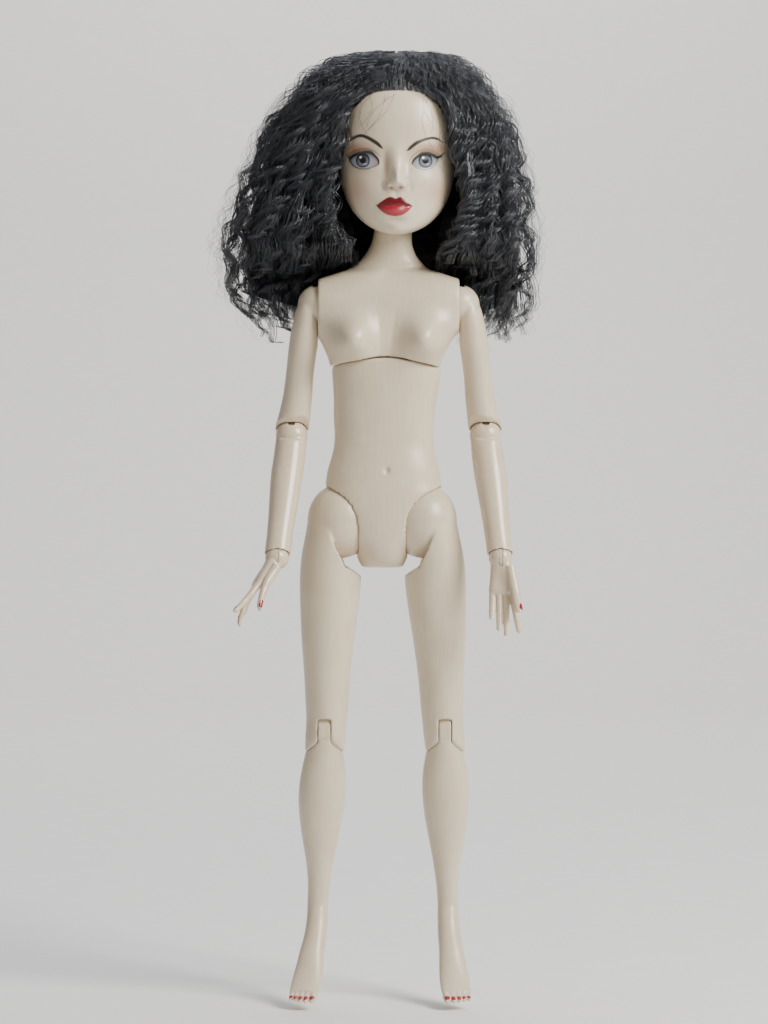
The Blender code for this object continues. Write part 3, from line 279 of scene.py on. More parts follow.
def loft(rings: Sequence[Ring], sides: int) -> Shape:
    """Returns a closed skin over rounded cross-sections.

    Args:
        rings: the cross-sections, from one end to the other.
        sides: how many points each has.

    Returns:
        The closed shape.
    """
    rows = np.array(rings)[:, None, :]
    angle = 2 * pi * (np.arange(sides) + 0.5) / sides
    across, along = np.cos(angle)[None], np.sin(angle)[None]
    x, y, z, width, front, back, pitch, power = (rows[..., place] for place in range(8))
    across = width * np.abs(across) ** (2 / power) * np.sign(across)
    depth = np.where(along > 0, back, front)
    along = depth * np.abs(along) ** (2 / power) * np.sign(along)
    points = np.stack([x + across, y + along * np.cos(pitch), z - along * np.sin(pitch)], axis=-1)
    return Shape(points.reshape(-1, 3), tube_faces(len(rings), sides))


def rings_along(
    rows: Sequence[Sequence[float]],
    low: Sequence[float],
    high: Sequence[float],
    half_width: float,
    half_depth: float,
    power: float = 2.0,
) -> list[Ring]:
    """Turns rows of shares into rings between two points.

    Args:
        rows: the share of the way up, the shift and half width as shares of the half width, and the
            front and back as shares of the half depth.
        low: where share 0 is.
        high: where share 1 is.
        half_width: the size that the widths follow.
        half_depth: the size that the depths follow.
        power: how square the cross-section is, from 2, round.

    Returns:
        The rings.
    """
    made = []
    for share, shift, width, front, back in rows:
        x, y, z = Vector(low).lerp(Vector(high), share)
        sizes = (width * half_width, front * half_depth, back * half_depth)
        made.append(Ring(x + shift * half_width, y, z, *sizes, 0, power))
    return made


def ball(
    centre: Sequence[float], radius: float, scale: Sequence[float] = (1, 1, 1), sides: int = 72
) -> Shape:
    """Returns a ball, or an egg when it is scaled, turned a little off the rings of what it meets."""
    mesh = bmesh.new()
    bmesh.ops.create_uvsphere(mesh, u_segments=sides, v_segments=sides // 2, radius=radius)
    turn = Euler((radians(5), radians(3), radians(2))).to_matrix()
    points = np.array([(turn @ vert.co)[:] for vert in mesh.verts])
    faces = [tuple(vert.index for vert in face.verts) for face in mesh.faces]
    mesh.free()
    return Shape(points * np.array(scale) + np.array(centre), faces)


def rod(start: Vector, end: Vector, radius: float, end_radius: float | None = None, sides: int = 48) -> Shape:
    """Returns a round bar, or a cone, from start to end."""
    along = end - start
    turn = Matrix.Translation(start) @ along.to_track_quat("Z", "Y").to_matrix().to_4x4()
    last = radius if end_radius is None else end_radius
    return turned_solid(((0, radius), (along.length, last)), sides).moved(turn)


def turned_solid(rows: Sequence[tuple[float, float]], sides: int) -> Shape:
    """Returns a solid turned about Z, from rows of height and radius."""
    angle = 2 * pi * (np.arange(sides) + 0.37) / sides
    rings = [
        np.stack([radius * np.cos(angle), radius * np.sin(angle), np.full(sides, height)], axis=-1)
        for height, radius in rows
    ]
    return Shape(np.vstack(rings), tube_faces(len(rows), sides))


def prism(outline: Sequence[tuple[float, float]], axis: int, middle: float, width: float) -> Shape:
    """Returns a plate: an outline in the plane across an axis.

    Args:
        outline: its corners in the other two axes.
        axis: 0 for X or 1 for Y.
        middle: where the plate's middle lies on the axis.
        width: how thick it is.

    Returns:
        The plate.
    """
    corners = np.array(outline)
    sides = []
    for side in (-width / 2, width / 2):
        level = np.full(len(corners), middle + side)
        stack = (level, corners[:, 0], corners[:, 1]) if axis == 0 else (corners[:, 0], level, corners[:, 1])
        sides.append(np.stack(stack, axis=-1))
    return Shape(np.vstack(sides), tube_faces(2, len(corners)))


def arc(
    centre: tuple[float, float], radius: float, start: float, end: float, steps: int = 48
) -> list[tuple[float, float]]:
    """Returns points of an arc about a centre, in its own plane."""
    angles = [start + (end - start) * step / steps for step in range(steps + 1)]
    return [(centre[0] + radius * cos(angle), centre[1] + radius * sin(angle)) for angle in angles]


def wedge(centre: tuple[float, float], start: float, end: float, reach: float) -> list[tuple[float, float]]:
    """Returns the corners of a wedge about a centre, in its own plane."""
    return [centre] + arc(centre, reach, start, end, 2)


class Moulding:
    """A piece that is cut and joined as solids, then resampled into one skin with soft moulded edges."""

    def __init__(self, name: str, shape: Shape) -> None:
        """Starts from one solid."""
        self.item = shape.object(name)
        self.tools: list[bpy.types.Object] = []

    def _combine(self, shape: Shape, operation: str) -> None:
        """Adds one exact Boolean."""
        tool = shape.object("tool")
        tool.hide_render = True
        modifier = self.item.modifiers.new("solid", "BOOLEAN")
        modifier.operation = operation
        modifier.solver = "EXACT"
        modifier.object = tool
        self.tools.append(tool)

    def cut(self, *shapes: Shape) -> None:
        """Takes solids away."""
        for shape in shapes:
            self._combine(shape, "DIFFERENCE")

    def join(self, *shapes: Shape) -> None:
        """Adds solids."""
        for shape in shapes:
            self._combine(shape, "UNION")

    def bake(self) -> None:
        """Makes the modifiers' result the piece's own mesh and clears the tools away."""
        graph = bpy.context.evaluated_depsgraph_get()
        mesh = bpy.data.meshes.new_from_object(self.item.evaluated_get(graph))
        self.item.modifiers.clear()
        self.item.data = mesh
        for tool in self.tools:
            bpy.data.objects.remove(tool)
        self.tools = []

    def finish(self, grain: float, rounds: int) -> bpy.types.Object:
        """Resamples the piece and softens its edges.

        Args:
            grain: the size of the new faces.
            rounds: how often the skin is relaxed.

        Returns:
            The finished object.
        """
        remesh = self.item.modifiers.new("skin", "REMESH")
        remesh.mode = "VOXEL"
        remesh.voxel_size = grain * 1
        relax = self.item.modifiers.new("relax", "SMOOTH")
        relax.factor = 0.5
        relax.iterations = rounds
        self.bake()
        self.item.data.shade_smooth()
        return self.item


def dress(piece: bpy.types.Object, material: bpy.types.Material, body: str, slot: Slot, *nodes: str) -> None:
    """Gives a piece its finish and its body, and hides the CAD nodes it stands for.

    Args:
        piece: the finished object.
        material: its finish.
        body: the CAD body it rides on.
        slot: the record's material slot; not used.
        nodes: the CAD nodes it replaces.
    """
    wear(piece, material)
    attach(piece, body)
    if nodes:
        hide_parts(*nodes)
    log.info("%s: %d faces on %s", piece.name, len(piece.data.polygons), body)

# Body shells


@dataclass
class Torso:
    """The lower torso: pelvis and abdomen in one, with a dome under the chest and two hip sockets."""

    grip_width: float = 21.3 * MM
    half_depth: float = 16.5 * MM
    crotch_drop: float = 57.2 * MM
    seam_rise: float = 28 * MM
    dome_radius: float = 54.1 * MM
    stud_radius: float = 6.5 * MM
    peg_radius: float = 2.5 * MM
    navel_drop: float = 16.4 * MM
    navel_shift: float = 1.2 * MM
    navel_front_share: float = 0.905
    navel_radius: float = 1.35 * MM
    dome_steps: int = 14
    dome_fill: float = 0.985
    mouth_slope: float = tan(radians(7))
    hip_radius: float = 16 * MM
    stub_radius: float = 3.4 * MM
    stub_reach: float = 17.6 * MM

    SHARES = (
        (-0.012, 0, 0.30, 0.32, 0.34),
        (0.0, 0, 0.42, 0.56, 0.60),
        (0.06, 0, 0.50, 0.74, 0.86),
        (0.14, 0, 0.60, 0.86, 1.02),
        (0.25, 0, 0.90, 0.95, 1.12),
        (0.38, 0, 1.16, 1.00, 1.16),
        (0.52, 0, 1.24, 0.98, 1.12),
        (0.62, 0, 1.17, 0.94, 1.00),
        (0.72, 0, 1.13, 0.90, 0.90),
        (0.80, 0, 1.07, 0.86, 0.84),
        (0.90, 0, 1.01, 0.80, 0.78),
        (1.0, 0, 1.0, 0.78, 0.76),
    )
    ABDOMEN_SHARES = (
        (0.0, 0, 1.0, 0.78, 0.76),
        (0.25, 0, 1.02, 0.79, 0.77),
        (0.55, 0.03, 1.05, 0.82, 0.79),
        (0.90, 0.05, 1.10, 0.86, 0.82),
    )

    def build(self) -> bpy.types.Object:
        """Builds the moulding.

        Returns:
            The finished object.
        """
        pivot = PIVOTS["waist_bend"]
        hips = (PIVOTS["right_hip_swing"] + PIVOTS["left_hip_swing"]) / 2
        low = (hips.x, 0, -self.crotch_drop)
        rings = rings_along(self.SHARES, low, (0, 0, 0), self.grip_width, self.half_depth, 2.3)
        top = (0, 0, self.seam_rise)
        rings += rings_along(self.ABDOMEN_SHARES, (0, 0, 0), top, self.grip_width, self.half_depth, 2.3)[1:]
        rings = smooth_rings(rings, 5)
        last = rings[-1]
        height = pivot.z + self.dome_radius - last.z
        for step in range(1, self.dome_steps + 1):
            share = sin(pi / 2 * step / self.dome_steps)
            rings.append(last._replace(z=last.z + height * share * self.dome_fill))
        shape = loft(rings, 128)
        away = shape.points - np.array(pivot)
        flat = np.hypot(away[:, 0], away[:, 1])
        rise = np.clip(away[:, 2], 0, self.dome_radius)
        room = np.sqrt(self.dome_radius**2 - rise**2)
        draw = np.where(away[:, 2] > 0, np.minimum(1, room / np.maximum(flat, MM)), 1)
        shape.points[:, :2] = np.array(pivot)[:2] + away[:, :2] * draw[:, None]
        torso = Moulding("torso_shell", shape)
        torso.cut(ball(pivot, self.stud_radius + GAP))
        top = pivot + UP * 2 * self.dome_radius
        cut_mouth(torso, pivot, top, self.stud_radius / 2, self.peg_radius, self.mouth_slope)
        navel = Vector((self.navel_shift, -self.half_depth * self.navel_front_share, -self.navel_drop))
        torso.cut(ball(navel, self.navel_radius, (1, 0.9, 1.15), sides=32))
        for side in Side:
            hip = PIVOTS[f"{side.word}_hip_swing"]
            torso.cut(ball(hip, self.hip_radius + TURNING_GAP, sides=96))
            cut_bore(torso, hip, (-side.value, 0, 0), self.stub_reach, self.stub_radius)
        return torso.finish(0.62 * MM, 3)


@dataclass
class Chest:
    """The chest and neck: it sits on the torso's dome, and the head's seat turns on its top."""

    seam_spacing: float = 30.3 * MM
    half_depth: float = 12.5 * MM
    low: float = 19 * MM
    neck_base: float = 70.5 * MM
    bust_height: float = 40 * MM
    bust_spacing: float = 15.2 * MM
    bust_reach: float = 9.2 * MM
    bust_push: float = 9.9 * MM
    under_shift: float = 1.5 * MM
    under_drop: float = 4 * MM
    under_reach: tuple[float, float] = (7.5 * MM, 5 * MM)
    under_push: float = 1.6 * MM
    neck_radius: float = 8.6 * MM
    neck_steps: int = 16
    neck_end: float = radians(84)
    mouth_slope: float = tan(radians(17))
    neck_ball: float = 4.2 * MM
    neck_peg: float = 1.8 * MM
    waist_peg: float = 2.5 * MM
    waist_peg_reach: float = 66 * MM
    dome_radius: float = 54.1 * MM
    shoulder_radius: float = 8.8 * MM
    shoulder_peg: float = 3 * MM
    shoulder_peg_reach: float = 19 * MM

    SHARES = (
        (0.0, 0.00, 0.77, 0.95, 0.98),
        (0.10, 0.00, 0.775, 0.98, 1.02),
        (0.22, 0.00, 0.79, 0.98, 1.04),
        (0.34, 0.00, 0.87, 0.98, 1.06),
        (0.46, 0.00, 0.98, 0.97, 1.07),
        (0.62, 0.00, 1.24, 0.99, 1.06),
        (0.80, 0.00, 1.32, 0.95, 1.02),
        (0.92, 0.00, 1.15, 0.78, 0.94),
        (1.0, 0.01, 0.80, 0.62, 0.86),
    )
    NECK_SHARES = (
        (0.0, 0, 2.05, 0.88, 1.22),
        (0.12, 0, 1.66, 0.88, 1.14),
        (0.28, 0, 1.30, 0.88, 1.06),
        (0.50, 0, 1.04, 0.92, 1.0),
        (0.75, 0, 0.96, 0.94, 0.96),
        (1.0, 0, 0.99, 0.99, 0.99),
    )

    def build(self) -> bpy.types.Object:
        """Builds the moulding.

        Returns:
            The finished object.
        """
        waist, neck = PIVOTS["waist_bend"], PIVOTS["head_turn"]
        shoulders = (PIVOTS["right_shoulder_swing"] + PIVOTS["left_shoulder_swing"]) / 2
        base = (shoulders.x, neck.y / 2, self.neck_base - 8 * GAP)
        rings = rings_along(self.SHARES, (0, 0, self.low), base, self.seam_spacing, self.half_depth, 3.2)
        start = (shoulders.x, neck.y, self.neck_base)
        rings += rings_along(self.NECK_SHARES, start, neck, self.neck_radius, self.neck_radius)
        rings = smooth_rings(rings, 5)
        last = rings[-1]
        for step in range(1, self.neck_steps + 1):
            angle = self.neck_end * step / self.neck_steps
            size = self.neck_radius * cos(angle)
            rise = self.neck_radius * sin(angle)
            rings.append(last._replace(z=last.z + rise, half_width=size, front=size, back=size))
        shape = loft(rings, 144)
        for sign in (-1, 1):
            place = (shoulders.x + sign * self.bust_spacing, -self.half_depth, self.bust_height)
            reach = (self.bust_reach, self.half_depth, self.bust_reach)
            shape.swell(place, reach, (0, -self.bust_push, 0))
            under = (place[0] + sign * self.under_shift, place[1], place[2] - self.under_drop)
            wide, tall = self.under_reach
            shape.swell(under, (wide, self.half_depth, tall), (0, -self.under_push, 0))
        side = shape.points[:, 0] - shoulders.x
        shape.points[:, 0] = shoulders.x + np.clip(side, -self.seam_spacing, self.seam_spacing)
        self._add_collar_bones(shape, shoulders.x)
        chest = Moulding("chest_shell", shape)
        chest.cut(ball(waist, self.dome_radius + 2 * GAP, sides=160))
        cut_bore(chest, waist, UP, self.waist_peg_reach, self.waist_peg)
        chest.cut(ball(neck, self.neck_ball + GAP, sides=40))
        top = neck + UP * self.neck_radius * 1.2
        cut_mouth(chest, neck, top, self.neck_ball / 2, self.neck_peg, self.mouth_slope)
        for side_of in Side:
            shoulder = PIVOTS[f"{side_of.word}_shoulder_swing"]
            chest.cut(ball(shoulder, self.shoulder_radius + TURNING_GAP))
            cut_bore(chest, shoulder, (-side_of.value, 0, 0), self.shoulder_peg_reach, self.shoulder_peg)
        return chest.finish(0.58 * MM, 3)

    def _add_collar_bones(self, shape: Shape, middle: float) -> None:
        """Raises two faint collar bones and the notch between them.

        Args:
            shape: the chest's skin.
            middle: the chest's own middle along X.
        """
        high, front = self.neck_base - 3 * MM, -self.half_depth * 0.8
        for sign in (-1, 1):
            for step in range(5):
                place = (middle + sign * (5 + 4.2 * step) * MM, front, high + 0.2 * step * MM)
                shape.swell(place, (3.2 * MM, 9 * MM, 1.7 * MM), (0, -0.22 * MM, 0.05 * MM))
        shape.swell((middle, front, high + MM), (2.6 * MM, 9 * MM, 2.4 * MM), (0, 0.7 * MM, 0))


def limb_rings(
    shares: Sequence[Sequence[float]],
    side: Side,
    low: Sequence[float],
    high: Sequence[float],
    half_width: float,
    half_depth: float,
) -> list[Ring]:
    """Returns a limb's rings, its shifts taken outwards on either side.

    Args:
        shares: rows as rings_along takes them, drawn for the left side.
        side: the limb's side.
        low: where share 0 is.
        high: where share 1 is.
        half_width: the size that the widths follow.
        half_depth: the size that the depths follow.

    Returns:
        The rings.
    """
    rows = [(share, side.value * shift, *rest) for share, shift, *rest in shares]
    return rings_along(rows, low, high, half_width, half_depth)


@dataclass
class UpperArm:
    """An upper arm: a shoulder ball outside the chest's seam, down to the rim round the elbow's dome."""

    side: Side
    half_width: float = 6.5 * MM
    shoulder_radius: float = 8.8 * MM
    bulge: float = 8.8 * MM
    tongue: float = 4 * MM
    peg: float = 3 * MM
    elbow_radius: float = 6.9 * MM
    elbow_rim: float = 2 * MM
    elbow_peg: float = 2.2 * MM
    elbow_peg_reach: float = 16.5 * MM
    pin: float = 1.1 * MM
    raised: float = radians(80)

    # Where the forearm comes out of the elbow's front, about X, and the turns about Z it does so in
    FRONT = (radians(130), radians(200))
    TURNS = (-25, -12, 0, 12, 25)

    SHARES = (
        (-0.03, 0.06, 1.15, 1.14, 1.14),
        (0.06, 0.05, 1.13, 1.12, 1.12),
        (0.16, 0.00, 1.06, 1.06, 1.06),
        (0.30, -0.04, 0.98, 1.04, 1.04),
        (0.46, 0.00, 0.93, 1.05, 1.06),
        (0.66, 0.02, 0.96, 1.18, 1.18),
        (0.78, 0.00, 0.97, 1.28, 1.28),
        (0.88, -0.02, 0.92, 1.32, 1.32),
        (0.97, 0.02, 0.78, 1.24, 1.24),
        (1.05, 0.04, 0.52, 0.98, 0.98),
    )

    def build(self) -> bpy.types.Object:
        """Builds the moulding.

        Returns:
            The finished object.
        """
        word, sign = self.side.word, self.side.value
        shoulder, elbow = PIVOTS[f"{word}_shoulder_swing"], PIVOTS[f"{word}_elbow_bend"]
        top = Vector((shoulder.x + sign * self.half_width * 0.62, elbow.y, shoulder.z))
        rings = limb_rings(self.SHARES, self.side, elbow, top, self.half_width, self.half_width)
        arm = Moulding(f"{word}_upper_arm_shell", loft(smooth_rings(rings, 5), 72))
        plane = shoulder.x + sign * GAP / 2
        far = plane - sign * OVERRUN
        high, low = shoulder.z + 1.5 * OVERRUN, shoulder.z - 1.5 * OVERRUN
        arm.cut(prism([(plane, low), (far, low), (far, high), (plane, high)], 1, shoulder.y, 2 * OVERRUN))
        arm.join(ball(shoulder, self.shoulder_radius, (self.bulge / self.shoulder_radius, 1, 1)))
        cut_side_slot(arm, shoulder, sign, self.tongue, self.shoulder_radius * 0.55, self.peg, self.raised)
        cut_pin(arm, shoulder, (0, 1, 0), self.pin, self.shoulder_radius * 0.72)
        arm.cut(ball(elbow, self.elbow_radius + TURNING_GAP))
        arm.cut(level_floor(elbow, self.elbow_rim))
        front = prism(wedge((0, 0), *self.FRONT, OVERRUN / 2), 0, 0, OVERRUN)
        for turn in self.TURNS:
            arm.cut(front.moved(Matrix.Translation(elbow) @ Matrix.Rotation(radians(turn), 4, "Z")))
        cut_bore(arm, elbow, UP, self.elbow_peg_reach, self.elbow_peg)
        return arm.finish(0.48 * MM, 3)


def cut_mouth(body: Moulding, pivot: Vector, top: Vector, start: float, peg: float, slope: float) -> None:
    """Cuts the cone that a peg swings in, from inside a stud's seat out to the top.

    Args:
        body: the piece to cut.
        pivot: the stud's middle.
        top: where the cone ends.
        start: how far above the pivot it starts.
        peg: the peg's radius.
        slope: how much it widens over its height.
    """
    low = pivot + UP * start
    size = peg + GAP + start * slope
    body.cut(rod(low, top, size, size + (top.z - low.z) * slope))


def level_floor(pivot: Vector, rim: float) -> Shape:
    """Returns a block that trims a limb off level, its top a rim's height above a pivot."""
    low = pivot.z + rim
    outline = [
        (pivot.y - OVERRUN, low - OVERRUN),
        (pivot.y + OVERRUN, low - OVERRUN),
        (pivot.y + OVERRUN, low),
        (pivot.y - OVERRUN, low),
    ]
    return prism(outline, 0, pivot.x, OVERRUN)


def cut_pin(limb: Moulding, pivot: Vector, axis: Sequence[float], radius: float, half_length: float) -> None:
    """Cuts a pin's bore through a limb, about its pivot."""
    along = Vector(axis) * (half_length + GAP)
    limb.cut(rod(pivot - along, pivot + along, radius + GAP, sides=24))


def cut_bore(
    limb: Moulding, pivot: Vector, way: Sequence[float], reach: float, radius: float, sides: int = 48
) -> None:
    """Cuts a peg's bore from a pivot along a way."""
    limb.cut(rod(pivot, pivot + Vector(way) * (reach + GAP), radius + GAP, sides=sides))


def cut_side_slot(
    limb: Moulding, pivot: Vector, sign: int, tongue: float, disc: float, peg: float, most: float
) -> None:
    """Cuts a hub's slot in a limb's ball, open from its inner side up to where a raised limb meets it.

    Args:
        limb: the limb to cut.
        pivot: the ball's middle.
        sign: the side's sign.
        tongue: how thick the hub's tongue is.
        disc: the hub's radius.
        peg: the peg's radius.
        most: how far the limb is raised.
    """
    half = Vector((0, (tongue + 2 * GAP) / 2, 0))
    limb.cut(rod(pivot - half, pivot + half, disc + GAP))
    clear, reach = peg + 2 * GAP, OVERRUN
    corners = [(0, -clear), (reach, -clear)]
    for angle in (0, most / 2, most):
        corners.append((reach * cos(angle) - clear * sin(angle), reach * sin(angle) + clear * cos(angle)))
    corners += [(-clear * sin(most), clear * cos(most)), (-clear, 0)]
    outline = [(pivot.x - sign * across, pivot.z + up) for across, up in corners]
    limb.cut(prism(outline, 1, pivot.y, max(tongue + 2 * GAP, 2 * clear)))


def cut_end_slot(limb: Moulding, pivot: Vector, tongue: float, disc: float) -> None:
    """Cuts a hub's round slot right across a limb's dome, which leaves a cheek on each side.

    Args:
        limb: the limb to cut.
        pivot: the dome's middle.
        tongue: how thick the hub's tongue is.
        disc: the hub's radius.
    """
    half = Vector((tongue / 2 + 0.3 * GAP, 0, 0))
    limb.cut(rod(pivot - half, pivot + half, disc + GAP, sides=64))


def cut_covered_slot(
    limb: Moulding, pivot: Vector, tongue: float, disc: float, neck: float, forward: float, back: float
) -> None:
    """Cuts a hub's slot that the dome covers in front, open only where the hub's neck sweeps.

    Args:
        limb: the limb to cut.
        pivot: the dome's middle.
        tongue: how thick the hub's tongue is.
        disc: the hub's radius.
        neck: the radius of the hub's neck.
        forward: how far the limb bends forwards.
        back: how far it bends back.
    """
    half = Vector((tongue / 2 + GAP, 0, 0))
    limb.cut(rod(pivot - half, pivot + half, disc + GAP, sides=64))
    spread = asin((neck + GAP) / disc)
    first, last = radians(90) - back - spread, radians(90) + forward + spread
    sweep = wedge((pivot.y, pivot.z), first, last, OVERRUN / 2)
    limb.cut(prism(sweep, 0, pivot.x, 2 * neck + 2 * GAP))


@dataclass(frozen=True)
class Hub:
    """The hub of an elbow: a round tongue inside the forearm's dome, and a peg up into the upper arm."""

    side: Side
    disc: float = 5.7 * MM
    tongue: float = 3 * MM
    neck: float = 0.95 * MM
    peg: float = 2.2 * MM
    peg_start: float = 7.6 * MM
    peg_end: float = 16.5 * MM

    def build(self) -> bpy.types.Object:
        """Builds the hub.

        Returns:
            The finished object.
        """
        pivot = PIVOTS[f"{self.side.word}_elbow_bend"]
        half = Vector((self.tongue / 2, 0, 0))
        hub = Moulding(f"{self.side.word}_elbow_core", rod(pivot - half, pivot + half, self.disc, sides=40))
        hub.join(rod(pivot, pivot + UP * (self.peg_start + GAP), self.neck, sides=24))
        hub.join(rod(pivot + UP * self.peg_start, pivot + UP * self.peg_end, self.peg, sides=24))
        return hub.finish(0.4 * MM, 2)


REST_BEND = radians(25)


def rest_bend(elbow: Vector) -> Matrix:
    """Returns the turn from a straight arm to the rest pose, forwards about the elbow."""
    return Matrix.Translation(elbow) @ Matrix.Rotation(-REST_BEND, 4, "X") @ Matrix.Translation(-elbow)


def straight_wrist(side: Side) -> Vector:
    """Returns where a wrist is before the elbow bends to the rest pose."""
    elbow = PIVOTS[f"{side.word}_elbow_bend"]
    return rest_bend(elbow).inverted() @ PIVOTS[f"{side.word}_wrist_bend"]


@dataclass
class Forearm:
    """A forearm: a slotted dome in the upper arm's seat, down to the rim round the wrist's ball."""

    side: Side
    half_width: float = 6.8 * MM
    elbow_radius: float = 6.9 * MM
    wrist_radius: float = 5 * MM
    wrist_rim: float = 1.8 * MM
    wrist_peg: float = 1.2 * MM
    wrist_peg_reach: float = 10.5 * MM
    pin: float = 1.1 * MM
    bend_forwards: float = radians(60)

    # What is trimmed off round the elbow's dome, about X
    FOLD = (radians(80), radians(218))

    SHARES = (
        (0.02, 0.0, 0.83, 0.80, 0.80),
        (0.12, 0.0, 0.81, 0.77, 0.77),
        (0.30, 0.0, 0.85, 0.80, 0.80),
        (0.50, 0.0, 0.95, 0.90, 0.90),
        (0.66, 0.0, 1.02, 0.97, 0.97),
        (0.80, -0.02, 1.02, 0.99, 0.99),
        (0.92, -0.01, 1.0, 0.98, 0.98),
        (1.0, 0.0, 0.97, 0.97, 0.97),
    )

    def build(self) -> bpy.types.Object:
        """Builds the moulding.

        Returns:
            The finished object.
        """
        elbow, wrist = PIVOTS[f"{self.side.word}_elbow_bend"], straight_wrist(self.side)
        rings = limb_rings(self.SHARES, self.side, wrist, elbow, self.half_width, self.half_width)
        arm = Moulding(f"{self.side.word}_forearm_shell", loft(smooth_rings(rings, 6), 72))
        arm.cut(prism(wedge((elbow.y, elbow.z), *self.FOLD, OVERRUN / 2), 0, elbow.x, OVERRUN))
        arm.join(ball(elbow, self.elbow_radius))
        cut_covered_slot(arm, elbow, Hub.tongue, Hub.disc, Hub.neck, self.bend_forwards, REST_BEND)
        cut_pin(arm, elbow, (1, 0, 0), self.pin, self.elbow_radius * 0.78)
        arm.cut(level_floor(wrist, self.wrist_rim))
        arm.cut(ball(wrist, self.wrist_radius + TURNING_GAP, sides=48))
        cut_bore(arm, wrist, UP, self.wrist_peg_reach, self.wrist_peg, 24)
        made = arm.finish(0.44 * MM, 3)
        made.data.transform(rest_bend(elbow))
        return made


class Digit(NamedTuple):
    """A finger or thumb in the hand's own frame, palm to -Y and thumb to +X."""

    root: Vector
    length: float
    radius: float
    splay: float
    curl: float
    nail: Vector


def way_down(lean: float) -> Vector:
    """Returns the way a digit points when it leans forwards by an angle."""
    return Vector((0, -sin(lean), -cos(lean)))


